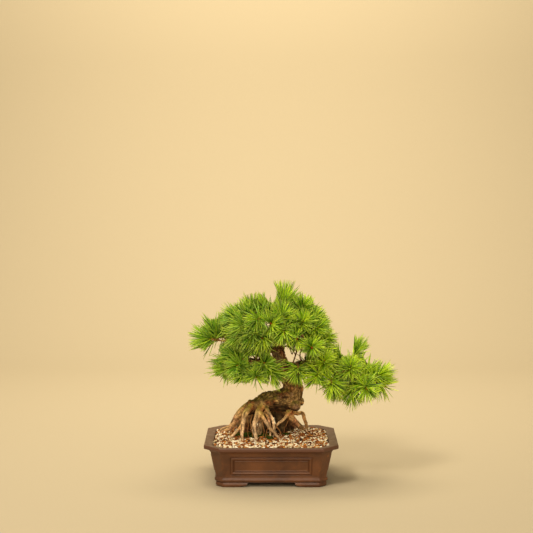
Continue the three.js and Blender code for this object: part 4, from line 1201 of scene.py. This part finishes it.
def block(low, high):
    points = np.array([(x, y, z) for z in (low[2], high[2]) for y in (low[1], high[1])
                       for x in (low[0], high[0])])
    return points, [(0, 2, 3, 1), (4, 5, 7, 6), (0, 1, 5, 4), (2, 6, 7, 3), (0, 4, 6, 2), (1, 3, 7, 5)]


def drainCutter(x):
    sides, low, high = 40, 2, 20
    turn = 2 * math.pi * np.arange(sides) / sides
    ring = np.stack([x + pot["drainRadius"] * np.cos(turn), pot["drainRadius"] * np.sin(turn)], axis=1)
    rings = [np.column_stack([ring, np.full(sides, z)]) for z in (low, high)]
    return np.vstack(rings + [[x, 0, low], [x, 0, high]]), ringFaces(2, sides)


def cutAway(piece, shape):
    mesh = makeMesh("cutter", *shape)
    cutter = bpy.data.objects.new("cutter", mesh)
    bpy.context.scene.collection.objects.link(cutter)
    cut = piece.modifiers.new("cut", "BOOLEAN")
    cut.operation = "DIFFERENCE"
    cut.solver = "MANIFOLD"
    cut.object = cutter
    applyModifiers(piece)
    bpy.data.objects.remove(cutter)
    bpy.data.meshes.remove(mesh)


clayLook = {
    "body": tint(108, 65, 34),
    "bodyDark": tint(80, 46, 22),
    "warm": tint(120, 70, 32),
    "rim": tint(90, 54, 35),
    "lip": tint(88, 58, 38),
    "speck": tint(58, 36, 24),
    "stain": tint(140, 84, 34),
}


def clayMaterial():
    material, tree, shader, place = newMaterial("unglazed_stoneware", 0.48, 0.5)
    broad = noise(tree, place, 38, 4)
    cloudy = noise(tree, place, 9, 5, 0.6)
    fine = noise(tree, place, 0.9, 4, 0.7)
    height = addNode(tree, "SeparateXYZ", {0: place}).outputs[2]
    facing = addNode(tree, "SeparateXYZ", {0: addNode(tree, "NewGeometry").outputs["Normal"]}).outputs[2]
    colour = mixColours(tree, spread(tree, broad, 0.35, 0.65), clayLook["bodyDark"], clayLook["body"])
    colour = mixColours(tree, spread(tree, cloudy, 0.5, 0.72, 0, 0.5), colour, clayLook["warm"])
    rimFoot = (pot["height"] - pot["rimBand"]) / 1000
    onRim = spread(tree, height, rimFoot - 0.0003, rimFoot + 0.0007)
    colour = mixColours(tree, onRim, colour, clayLook["rim"])
    onLip = times(tree, spread(tree, facing, 0.45, 0.85), onRim)
    colour = mixColours(tree, onLip, colour, clayLook["lip"])
    upper = spread(tree, facing, 0.25, 0.8, 0, 0.35)
    colour = mixColours(tree, upper, colour, clayLook["lip"])
    blotches = spread(tree, noise(tree, place, 5, 3), 0.6, 0.68)
    colour = mixColours(tree, times(tree, blotches, painted(tree, "stain")), colour, clayLook["stain"])
    specks = spread(tree, cells(tree, place, 1.5), 0.1, 0.2, 0.7, 0)
    colour = mixColours(tree, specks, colour, clayLook["speck"])
    setColour(tree, shader, colour, spread(tree, fine, 0.3, 0.7, 0.86, 1.14))
    setRoughness(tree, shader, cloudy, 0.38, 0.56)
    under = addBump(tree, shader, noise(tree, place, 1.1, 5, 0.7), 0.16, 0.7)
    addBump(tree, shader, noise(tree, place, 7, 2), 0.3, 0.5, under)
    return material


def makePot(material):
    levels = potLevels()
    plans = [planRing(width, corner) for _, width, corner in levels]
    sides = len(plans[0])
    rings = [np.column_stack([plan, np.full(sides, level[0])]) for plan, level in zip(plans, levels)]
    points = np.vstack(rings + [[0, 0, levels[0][0]], [0, 0, levels[-1][0]]])
    # the panels' mouldings are raised on the four faces
    outer = np.zeros(len(points), dtype=bool)
    outer[:sides * next(i for i, level in enumerate(levels) if level[0] > pot["bodyTop"])] = True
    along, onSide = facePlace(points)
    half = np.where(onSide, panel["side"], panel["front"])
    z = points[:, 2]
    inward = np.minimum(half - np.abs(along), np.minimum(z - panel["foot"], panel["top"] - z))
    raised = np.where(outer & (inward > -1.6), panelProfile(inward), 0)
    direction = np.where(onSide[:, None], [1, 0, 0], [0, 1, 0]) * np.sign(points)
    points = points + direction * raised[:, None]
    mesh = makeMesh("pot_clay", points, ringFaces(len(levels), sides))
    piece = makePiece("pot_clay", mesh, [material], ["pot"])
    halfWide = pot["bodyFootWidth"] / 2
    halfDeep = halfWide - pot["deeper"] / 2
    under, underDeep = halfWide - feet["inset"], halfDeep - feet["inset"]
    cutAway(piece, block((-under, -underDeep, -2), (under, underDeep, pot["underside"])))
    cutAway(piece, footGap(halfWide - feet["reach"], 120, False))
    cutAway(piece, footGap(halfDeep - feet["reach"], 120, True))
    for x in (-pot["drainOffset"], pot["drainOffset"]):
        cutAway(piece, drainCutter(x))
    mesh = piece.data
    places = readPoints(mesh)
    x, y, z = places.T
    paint(mesh, "stain", ease(np.abs(x) + np.abs(y), 128, 140) * ease(x, 0, 20) * ease(50 - z, 0, 6))
    mesh.shade_smooth()
    mesh.set_sharp_from_angle(angle=math.radians(38))
    report("pot", piece)


# The soil: a bed of fines under washed grains

soil = {
    "edge": 56.3, "mound": 3.4, "moundReach": (85, 72),
    "under": 0.3,                          # kept from the pot's wall
    "wave": 0.7, "waveLength": 3.2,        # of the fines between the grains
    "grains": 3500, "size": (2.3, 4.6), "lift": (-0.5, 1.1),
    "shift": 0.42,                         # of a grain from its place, in steps of the grid
    "chips": 9, "chipDepth": (0.5, 0.85),
    "stretch": (0.72, 1.2), "swell": 1.25,
    "pumiceShare": 0.4, "nearMoss": 0.42,  # more pumice along the front, less by the moss
    "clear": 0.6,                          # of a grain's size, kept from the roots
    "seed": 7,
}


def soilHeight(x, y):
    reach = np.minimum(1, np.hypot(x / soil["moundReach"][0], y / soil["moundReach"][1]))
    return soil["edge"] + soil["mound"] * (1 - reach ** 2)


def evenRing(outline, count):  # points at equal steps round an outline
    wrapped = np.vstack([outline, outline[:1]])
    lengths = np.concatenate([[0], np.cumsum(np.linalg.norm(np.diff(wrapped, axis=0), axis=1))])
    places = np.linspace(0, lengths[-1], count, endpoint=False)
    return np.stack([np.interp(places, lengths, wrapped[:, k]) for k in range(2)], axis=1)


def soilHalves(margin=0):  # half the width and half the depth inside the rim
    half = pot["width"] / 2 - pot["lip"] - margin
    return half, half - pot["deeper"] / 2


def insidePot(x, y, margin):
    halfX, halfY = soilHalves(margin)
    inCorner = np.abs(x) + np.abs(y) < halfX + halfY - pot["lipCorner"]
    return (np.abs(x) < halfX) & (np.abs(y) < halfY) & inCorner


finesLook = [(0.3, tint(36, 18, 4)), (0.5, tint(74, 40, 12)), (0.66, tint(130, 82, 36)),
             (0.78, tint(180, 146, 100))]


def soilMaterial():
    material, tree, shader, place = newMaterial("soil_fines", 0.95, 0.2)
    fine = noise(tree, place, 1.8, 5, 0.7)
    connect(tree, shader.inputs["Base Color"], ramp(tree, fine, finesLook))
    addBump(tree, shader, fine, 1.2, 1.0)
    return material


def makeSoilBed(material):
    gap, sunk, around = soil["under"], 0.9, 154
    ground = pot["underside"] + pot["floor"] + 1.4
    footInside, topInside = (pot[name] - 2 * pot["wall"] for name in ("bodyFootWidth", "bodyTopWidth"))
    levels = [(ground, footInside - 7, 8), (ground + 3, footInside - 2 * gap, 10),
              (pot["bodyTop"], topInside - 2 * gap, pot["bodyCorner"]),
              (soil["edge"] - sunk, pot["width"] - 2 * pot["lip"] - 2 - 2 * gap, pot["lipCorner"])]
    rings = [np.column_stack([evenRing(cutRectangle(width, corner), around), np.full(around, z)])
             for z, width, corner in levels]
    rim = rings[-1]
    for share in np.arange(0.97, 0.02, -0.03):
        flat = rim[:, :2] * share
        layer = np.column_stack([flat, soilHeight(flat[:, 0], flat[:, 1]) - sunk])
        layer[:, 2] += soil["wave"] * softNoise(layer, soil["waveLength"], 61)
        rings.append(layer)
    points = np.vstack(rings + [[0, 0, ground], [0, 0, soilHeight(0, 0) - sunk]])
    mesh = makeMesh("soil_bed", points, ringFaces(len(rings), around))
    piece = makePiece("soil_bed", mesh, [material], ["soil"], 60)
    report("soil bed", piece)


def roundGrain():  # a twenty-sided solid of unit size, cut once finer
    golden = (1 + math.sqrt(5)) / 2
    points = unit([(0, s, t * golden) for s in (-1, 1) for t in (-1, 1)]
                  + [(s, t * golden, 0) for s in (-1, 1) for t in (-1, 1)]
                  + [(s * golden, 0, t) for s in (-1, 1) for t in (-1, 1)])
    apart = np.linalg.norm(points[:, None] - points[None], axis=2)
    near = (apart > 0.1) & (apart < 1.1)
    faces = [(a, b, c) for a in range(12) for b in range(a + 1, 12) for c in range(b + 1, 12)
             if near[a, b] and near[b, c] and near[a, c]]
    faces = [(a, b, c) if np.dot(np.cross(points[b] - points[a], points[c] - points[a]), points[a]) > 0
             else (a, c, b) for a, b, c in faces]
    points = list(points)
    middles, finer = {}, []

    def middle(a, b):
        key = (min(a, b), max(a, b))
        if key not in middles:
            middles[key] = len(points)
            points.append(unit(points[a] + points[b]))
        return middles[key]

    for a, b, c in faces:
        ab, bc, ca = middle(a, b), middle(b, c), middle(c, a)
        finer += [(a, ab, ca), (b, bc, ab), (c, ca, bc), (ab, bc, ca)]
    return np.array(points), np.array(finer)


def chipGrains(shape, count, draw):  # many of them, each chipped flat in its own way
    shape = np.repeat(shape[None], count, axis=0)
    for _ in range(soil["chips"]):
        normal = unit(draw.normal(size=(count, 3)))[:, None]
        offset = draw.uniform(*soil["chipDepth"], (count, 1))
        shape = shape - normal * np.maximum((shape * normal).sum(2) - offset, 0)[..., None]
    return shape


def randomTurns(count, draw):  # as rotation matrices
    a, b, c, d = unit(draw.normal(size=(count, 4))).T
    return np.stack([
        np.stack([1 - 2 * (c * c + d * d), 2 * (b * c - a * d), 2 * (b * d + a * c)], axis=1),
        np.stack([2 * (b * c + a * d), 1 - 2 * (b * b + d * d), 2 * (c * d - a * b)], axis=1),
        np.stack([2 * (b * d - a * c), 2 * (c * d + a * b), 1 - 2 * (b * b + c * c)], axis=1)], axis=1)


pumiceLook = {"bright": tint(250, 242, 218), "cream": tint(214, 190, 144), "grey": tint(140, 118, 86)}
clayGrainLook = {"red": tint(144, 82, 32), "brown": tint(98, 58, 24), "dark": tint(38, 24, 14),
                 "ochre": tint(196, 134, 58)}


def pumiceMaterial():
    material, tree, shader, place = newMaterial("pumice", 0.9, 0.25)
    tone = painted(tree, "tone")
    fine = noise(tree, place, 0.8, 4, 0.7)
    colour = ramp(tree, tone, [(0.0, pumiceLook["grey"]), (0.35, pumiceLook["cream"]),
                               (1.0, pumiceLook["bright"])])
    pits = spread(tree, cells(tree, place, 0.55), 0.12, 0.3, 0.55, 0)
    colour = mixColours(tree, pits, colour, pumiceLook["grey"])
    colour = mixColours(tree, spread(tree, fine, 0.55, 0.75, 0, 0.4), colour, pumiceLook["cream"])
    connect(tree, shader.inputs["Base Color"], colour)
    setRoughness(tree, shader, fine, 0.82, 0.98)
    addBump(tree, shader, cells(tree, place, 0.5), 0.25, 0.8)
    return material


def clayGrainMaterial():
    material, tree, shader, place = newMaterial("fired_clay_grains", 0.9, 0.25)
    tone = painted(tree, "tone")
    fine = noise(tree, place, 0.7, 4, 0.7)
    colour = ramp(tree, tone, [(0.0, clayGrainLook["dark"]), (0.2, clayGrainLook["brown"]),
                               (0.7, clayGrainLook["red"]), (1.0, clayGrainLook["ochre"])])
    setColour(tree, shader, colour, spread(tree, fine, 0.3, 0.7, 0.75, 1.25))
    setRoughness(tree, shader, fine, 0.8, 0.97)
    addBump(tree, shader, fine, 0.2, 0.9)
    return material


def rootsAt(x, y, z):  # the nearest root's surface, at the soil's level
    nearest = np.full(len(x), 99.0)
    places = np.stack([x, y, z], axis=1)
    for route in rootRoutes.values():
        line, radii = smoothPath(intoSoil(route), 60)
        away = np.linalg.norm(places[:, None] - line[None], axis=2) - radii
        nearest = np.minimum(nearest, away.min(axis=1))
    return nearest


def mossAway(x, y):  # how far outside the nearest patch of moss a place is
    return np.min([np.hypot(x - cx, y - cy) - radius for cx, cy, radius in moss["patches"]], axis=0)


def layGrains(draw):  # places and sizes of the grains that lie clear of the roots and the moss
    halfX, halfY = soilHalves()
    pitch = math.sqrt(4 * halfX * halfY / soil["grains"] * 0.95)
    columns, rows = int(2 * halfX / pitch) + 2, int(2 * halfY / pitch) + 2
    column, row = (grid.ravel() for grid in np.meshgrid(np.arange(columns), np.arange(rows)))
    shift = pitch * soil["shift"]
    x = -halfX + pitch * (column + 0.5 * (row % 2)) + draw.uniform(-shift, shift, len(column))
    y = -halfY + pitch * row + draw.uniform(-shift, shift, len(column))
    size = draw.uniform(*soil["size"], len(x)) / 2
    z = soilHeight(x, y) + draw.uniform(*soil["lift"], len(x))
    z = z - 1.2 * ease(-mossAway(x, y), -2, 3)
    keep = insidePot(x, y, 2.2) & (rootsAt(x, y, z) > size * soil["clear"]) & (mossAway(x, y) > -3)
    return x[keep], y[keep], z[keep], size[keep]


def makeGrains(whiteMaterial, redMaterial):
    draw = np.random.default_rng(soil["seed"])
    x, y, z, size = layGrains(draw)
    shape, faces = roundGrain()
    shape = chipGrains(shape, len(x), draw)
    stretch = draw.uniform(*soil["stretch"], (len(x), 1, 3)) * size[:, None, None] * soil["swell"]
    shape = np.einsum("gij,gkj->gki", randomTurns(len(x), draw), shape * stretch)
    shape = shape + np.stack([x, y, z], axis=1)[:, None]
    mix = soil["pumiceShare"] - 0.0014 * (y + 10)
    mix = mix + 0.06 * softNoise(np.stack([x, y, 0 * x], axis=1), 18, 71)
    mix = mix - soil["nearMoss"] * ease(-mossAway(x, y), -7, 1)
    white = draw.uniform(0, 1, len(x)) < mix
    pieces = []
    kinds = (("grains_pumice", white, whiteMaterial), ("grains_clay", ~white, redMaterial))
    for name, chosen, material in kinds:
        some = shape[chosen]
        count = len(some)
        starts = np.arange(count)[:, None, None] * some.shape[1]
        mesh = makeMesh(name, some.reshape(-1, 3), (faces[None] + starts).reshape(-1, 3).tolist())
        piece = makePiece(name, mesh, [material], ["soil"], 24)
        paint(mesh, "tone", np.repeat(draw.uniform(0, 1, count), some.shape[1]))
        pieces.append(piece)
    report("grains", *pieces)


# Moss between the roots

moss = {"patches": [(-48, 4, 8), (-51, 17, 7), (-36, -6, 9), (-24, -8, 9), (-12, -6, 9), (-4, -16, 8),
                    (-1, -27, 5), (-34, 10, 10), (-16, 8, 12), (2, 4, 9), (22, 6, 7)],
        "leaves": 9000, "leaf": (1.2, 3.0), "half": 0.34, "rise": 2.4, "sunk": 3, "cushionTone": 0.12,
        "seed": 31}
mossLook = [(0.0, tint(26, 28, 10)), (0.45, tint(58, 76, 18)), (1.0, tint(134, 156, 40))]


def mossMaterial():
    material, tree, shader, place = newMaterial("moss", 0.9, 0.2)
    colour = ramp(tree, painted(tree, "tone"), mossLook)
    setColour(tree, shader, colour, spread(tree, noise(tree, place, 3, 3), 0.3, 0.7, 0.75, 1.2))
    addBump(tree, shader, noise(tree, place, 0.6, 3), 0.2, 0.8)
    return material


# The cushions under the leaves, with edges in uneven waves
def mossCushions():
    sides, rows = 36, 12
    turns = 2 * math.pi * np.arange(sides) / sides
    for cx, cy, radius in moss["patches"]:
        edge = 1 + 0.25 * np.sin(3 * turns + cx) + 0.14 * np.sin(7 * turns + cy)
        rings = []
        for row in range(rows):
            share = 1 - row / rows
            x, y = cx + radius * share * edge * np.cos(turns), cy + radius * share * edge * np.sin(turns)
            rise = moss["rise"] * (1 - share ** 2.2) - 0.6
            z = soilHeight(x, y) + rise + 0.45 * softNoise(np.stack([x, y, 0 * x], axis=1), 2.4, 81)
            rings.append(np.stack([x, y, z], axis=1))
        rings.insert(0, rings[0] - [0, 0, moss["sunk"]])
        ends = [[cx, cy, rings[0][0, 2]], [cx, cy, soilHeight(cx, cy) + 1.3]]
        yield np.vstack(rings + ends), ringFaces(len(rings), sides)


def mossLeaves(draw):  # one small spike for each leaf
    patches = np.array(moss["patches"], dtype=float)
    areas = patches[:, 2] ** 2
    cx, cy, radius = patches[draw.choice(len(areas), moss["leaves"], p=areas / areas.sum())].T
    turn, share = draw.uniform(0, 6.3, len(cx)), np.sqrt(draw.uniform(0, 1, len(cx)))
    x, y = cx + radius * share * np.cos(turn), cy + radius * share * np.sin(turn)
    rise = moss["rise"] * (1 - share ** 2.2) - 0.9
    low = np.stack([x, y, soilHeight(x, y) + rise], axis=1)
    tip = low + unit(draw.normal(0, 0.45, (len(x), 3)) + up) * draw.uniform(*moss["leaf"], (len(x), 1))
    around = draw.uniform(0, 6.3, len(x))[:, None] + np.arange(3) * 2.094
    base = low[:, None] + moss["half"] * np.stack([np.cos(around), np.sin(around), 0 * around], axis=2)
    points = np.concatenate([base, tip[:, None]], axis=1)
    starts = np.arange(len(x))[:, None, None] * 4
    faces = (np.array([(0, 1, 3), (1, 2, 3), (2, 0, 3), (2, 1, 0)]) + starts).reshape(-1, 3)
    tones = np.repeat(np.clip(draw.normal(0.38, 0.2, len(x)), 0, 1), 4)
    return points.reshape(-1, 3), faces.tolist(), tones


def makeMoss(material):
    parts = list(mossCushions())
    points, faces, leafTones = mossLeaves(np.random.default_rng(moss["seed"]))
    tones = [np.full(len(part[0]), moss["cushionTone"]) for part in parts] + [leafTones]
    parts.append((points, [tuple(face) for face in faces]))
    mesh = makeMesh("moss", *joinParts(parts))
    piece = makePiece("moss", mesh, [material], ["soil"])
    paint(mesh, "tone", np.concatenate(tones))
    report("moss", piece)


# Short bare twigs left on the inner boughs, and the long ones and rootlets laid out one by one

twiglets = {"number": 130, "length": (7, 18), "radius": 0.7, "tip": 0.3, "share": (0.12, 0.92),
            "sides": 5, "rough": 0.16, "kind": 0.05, "fork": (0.45, 0.25), "forkLength": 0.35, "seed": 17}


def stemPiece(name, parts, material, kind):  # thin stems as one piece, with one place on the shoots' ramp
    mesh = makeMesh(name, *joinParts(parts))
    piece = makePiece(name, mesh, [material], ["tree_wood"], 60)
    paint(mesh, "kind", kind)
    report(name, piece)


def makeTwiglets(material):  # each a bent twig with one fork, on the boughs in turn
    draw = np.random.default_rng(twiglets["seed"])
    parts = []
    routes = [bough["route"] for bough in boughs.values()]
    for i in range(twiglets["number"]):
        line, radii = pathPoints(routes[i % len(routes)], [draw.uniform(*twiglets["share"])])
        out = unit(draw.normal(0, 1, 3) * [1, 1, 0.8] + up * 0.25)
        start, length = line[0] + out * radii[0] * 0.6, draw.uniform(*twiglets["length"])
        knee = start + out * length * 0.5
        turned = unit(out + draw.normal(0, 0.45, 3))
        thick, thin = twiglets["radius"], twiglets["tip"]
        stops = [(*start, thick), (*knee, (thick + thin) / 2), (*(knee + turned * length * 0.5), thin)]
        parts.append(scarredTube(*smoothPath(stops, 9), twiglets["sides"], draw, twiglets["rough"]))
        other = unit(out + draw.normal(0, 0.8, 3))
        thick, thin = twiglets["fork"]
        stops = [(*knee, thick), (*(knee + other * length * twiglets["forkLength"]), thin)]
        parts.append(scarredTube(*smoothPath(stops, 4), twiglets["sides"], draw, twiglets["rough"]))
    stemPiece("twiglets", parts, material, twiglets["kind"])


rootlets = {
    "twigs": [[(14, 6, 196, 1.5), (22, 0, 199, 1.3), (30, -4, 193, 1.1), (35, -2, 185, 0.8)],
              [(14, 6, 188, 1.4), (24, 2, 191, 1.2), (31, 2, 186, 1), (36, 0, 177, 0.7)],
              [(13, 7, 202, 1.3), (24, 4, 204, 1.1), (33, 2, 199, 0.9), (39, 4, 190, 0.7)],
              [(22, 0, 198, 1), (27, -4, 189, 0.9), (30, -2, 180, 0.7)],
              [(28, 2, 197, 1), (33, 6, 188, 0.9), (31, 8, 178, 0.7)],
              [(42, 3, 214, 1.6), (41, 2, 202, 1.4), (38, 0, 187, 1.2), (35, 2, 176, 1.1),
               (30, 7, 161, 1)],
              [(47, 3, 215, 1.5), (49, 2, 200, 1.2), (44, 0, 186, 1.1), (42, 4, 176, 1),
               (45, 6, 165, 0.9)],
              [(26, 6, 212, 1.3), (30, -8, 215, 1.1), (38, -22, 214, 1), (46, -26, 207, 0.8),
               (45, -22, 198, 0.6)],
              [(30, 5, 212, 1.2), (30, -10, 208, 1), (37, -22, 207, 0.8), (43, -24, 201, 0.7),
               (40, -18, 192, 0.5)],
              [(-12, 8, 190, 1.4), (-28, -5, 187, 1.1), (-22, -17, 175, 1), (-9, -18, 170, 0.9),
               (1, -12, 171, 0.7)],
              [(-12, 8, 190, 1.3), (-22, -8, 187, 1), (-15, -16, 179, 0.9), (-5, -16, 176, 0.8),
               (4, -8, 176, 0.6)],
              [(-8, 6, 208, 1.3), (-12, -12, 226, 1.1), (-5, -25, 233, 1), (3, -28, 228, 0.8),
               (6, -24, 214, 0.6)],
              [(-8, 6, 208, 1.3), (-10, -13, 233, 1), (-2, -24, 239, 0.9), (3, -26, 230, 0.7),
               (0, -25, 217, 0.5)]],
    "bright": [[(6, -10, 79, 0.7), (9, -12, 74, 0.65), (13, -15, 69, 0.6), (15, -17, 60, 0.5)]],
    "fine": [[(-35, -6, 88, 0.6), (-33, -11, 78, 0.5), (-34, -14, 68, 0.45), (-31, -16, 57, 0.4)],
             [(-10, -8, 90, 0.6), (-12, -12, 80, 0.5), (-10, -16, 70, 0.45), (-12, -17, 58, 0.4)],
             [(0, -8, 86, 0.6), (-4, -13, 76, 0.5), (-7, -16, 67, 0.45), (-8, -19, 57, 0.4)],
             [(-27, -6, 92, 0.6), (-30, -9, 82, 0.55), (-28, -12, 72, 0.5), (-26, -14, 57, 0.4)],
             [(26, 14, 84, 0.7), (24, 10, 77, 0.6), (20, 8, 69, 0.5), (19, 6, 58, 0.4)],
             [(-52, 18, 76, 0.7), (-54, 12, 70, 0.6), (-58, 10, 64, 0.5), (-62, 8, 57, 0.4)]],
}


thinStem = {"steps": 22, "sides": 6, "rough": 0.12, "kind": 0.3, "seed": 5}


def makeRootlets(material):
    draw = np.random.default_rng(thinStem["seed"])
    parts = [scarredTube(*smoothPath(route, thinStem["steps"]), thinStem["sides"], draw, thinStem["rough"])
             for group in rootlets.values() for route in group]
    stemPiece("rootlets", parts, material, thinStem["kind"])


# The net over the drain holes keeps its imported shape

def screenMaterial():
    material, tree, shader, place = newMaterial("drain_net", 0.6, 0.4)
    fine = noise(tree, place, 1.5, 3)
    colour = mixColours(tree, spread(tree, fine, 0.35, 0.65), tint(24, 26, 28), tint(48, 48, 46))
    connect(tree, shader.inputs["Base Color"], colour)
    setRoughness(tree, shader, fine, 0.5, 0.75)
    addBump(tree, shader, noise(tree, place, 0.8, 2), 0.1, 0.6)
    return material


def coatScreens():
    material = screenMaterial()
    for name in ("drain_screen_left", "drain_screen_right"):
        node = bpy.data.objects[name]
        for holder in node.material_slots:
            holder.material = material
        if not node.material_slots:
            node.data.materials.append(material)


# Floor, backdrop and light

studio = {
    "paper": tint(176, 164, 138),
    "sweep": {"half": 5, "front": -4, "foot": 1.0, "radius": 0.8, "top": 4},  # metres
    "air": tint(255, 236, 206), "airStrength": 0.3,
    "lights": [
        {"name": "key", "from": (-600, -1000, 1350), "at": (0, 0, 140), "size": 380, "watts": 19,
         "colour": (1.0, 0.9, 0.74)},
        {"name": "front", "from": (60, -1700, 750), "at": (0, 0, 110), "size": 700, "watts": 9,
         "colour": (1.0, 0.9, 0.74)},
        {"name": "fill", "from": (1000, -1100, 600), "at": (0, 0, 140), "size": 900, "watts": 3.5,
         "colour": (1.0, 0.88, 0.7)},
        {"name": "top", "from": (40, -250, 1500), "at": (0, 0, 100), "size": 500, "watts": 5.5,
         "colour": (1.0, 0.9, 0.74)},
        {"name": "paper_light", "from": (0, 600, 1700), "at": (0, 1800, 600), "size": 1400, "watts": 48,
         "colour": (1.0, 0.88, 0.68)},
    ],
}


def paperMaterial():
    material, tree, shader, place = newMaterial("studio_paper", 0.92, 0.15)
    grain = spread(tree, noise(tree, place, 3, 4), 0.3, 0.7, 0.985, 1.015)
    setColour(tree, shader, studio["paper"], grain)
    return material


def makeSweep():
    sweep = studio["sweep"]
    radius, start = sweep["radius"], sweep["foot"]
    profile = [(sweep["front"], 0), (start, 0)]
    for turn in np.radians(np.arange(6, 91, 6)):
        profile.append((start + radius * math.sin(turn), radius * (1 - math.cos(turn))))
    profile.append((start + radius, sweep["top"]))
    points = [(x, y, z) for x in (-sweep["half"], sweep["half"]) for y, z in profile]
    count = len(profile)
    faces = [(i, i + count, i + count + 1, i + 1) for i in range(count - 1)]
    mesh = bpy.data.meshes.new("sweep")
    mesh.from_pydata(points, [], faces)
    mesh.shade_smooth()
    mesh.materials.append(paperMaterial())
    paper = bpy.data.objects.new("sweep", mesh)
    bpy.context.scene.collection.objects.link(paper)


def makeStudio():
    makeSweep()
    world = bpy.data.worlds.new("studio_air")
    world.use_nodes = True
    world.node_tree.nodes["Background"].inputs["Color"].default_value = studio["air"]
    world.node_tree.nodes["Background"].inputs["Strength"].default_value = studio["airStrength"]
    bpy.context.scene.world = world
    for setup in studio["lights"]:
        data = bpy.data.lights.new(setup["name"], "AREA")
        data.energy = setup["watts"]
        data.size = setup["size"] / 1000
        data.color = setup["colour"]
        light = bpy.data.objects.new(setup["name"], data)
        place = toFrame(setup["from"])
        light.location = place
        away = place - toFrame(setup["at"])
        light.rotation_euler = (math.acos(away[2] / np.linalg.norm(away)), 0,
                                math.atan2(away[1], away[0]) + math.pi / 2)
        bpy.context.scene.collection.objects.link(light)
    bpy.context.scene.view_settings.view_transform = "Standard"


makeStudio()
bark = barkMaterial()
shoots = shootMaterial()
makeWood(bark)
makeSprays(needleMaterial(), shoots, bark)
makeTwiglets(shoots)
makePot(clayMaterial())
makeSoilBed(soilMaterial())
makeGrains(pumiceMaterial(), clayGrainMaterial())
makeMoss(mossMaterial())
makeRootlets(shoots)
coatScreens()
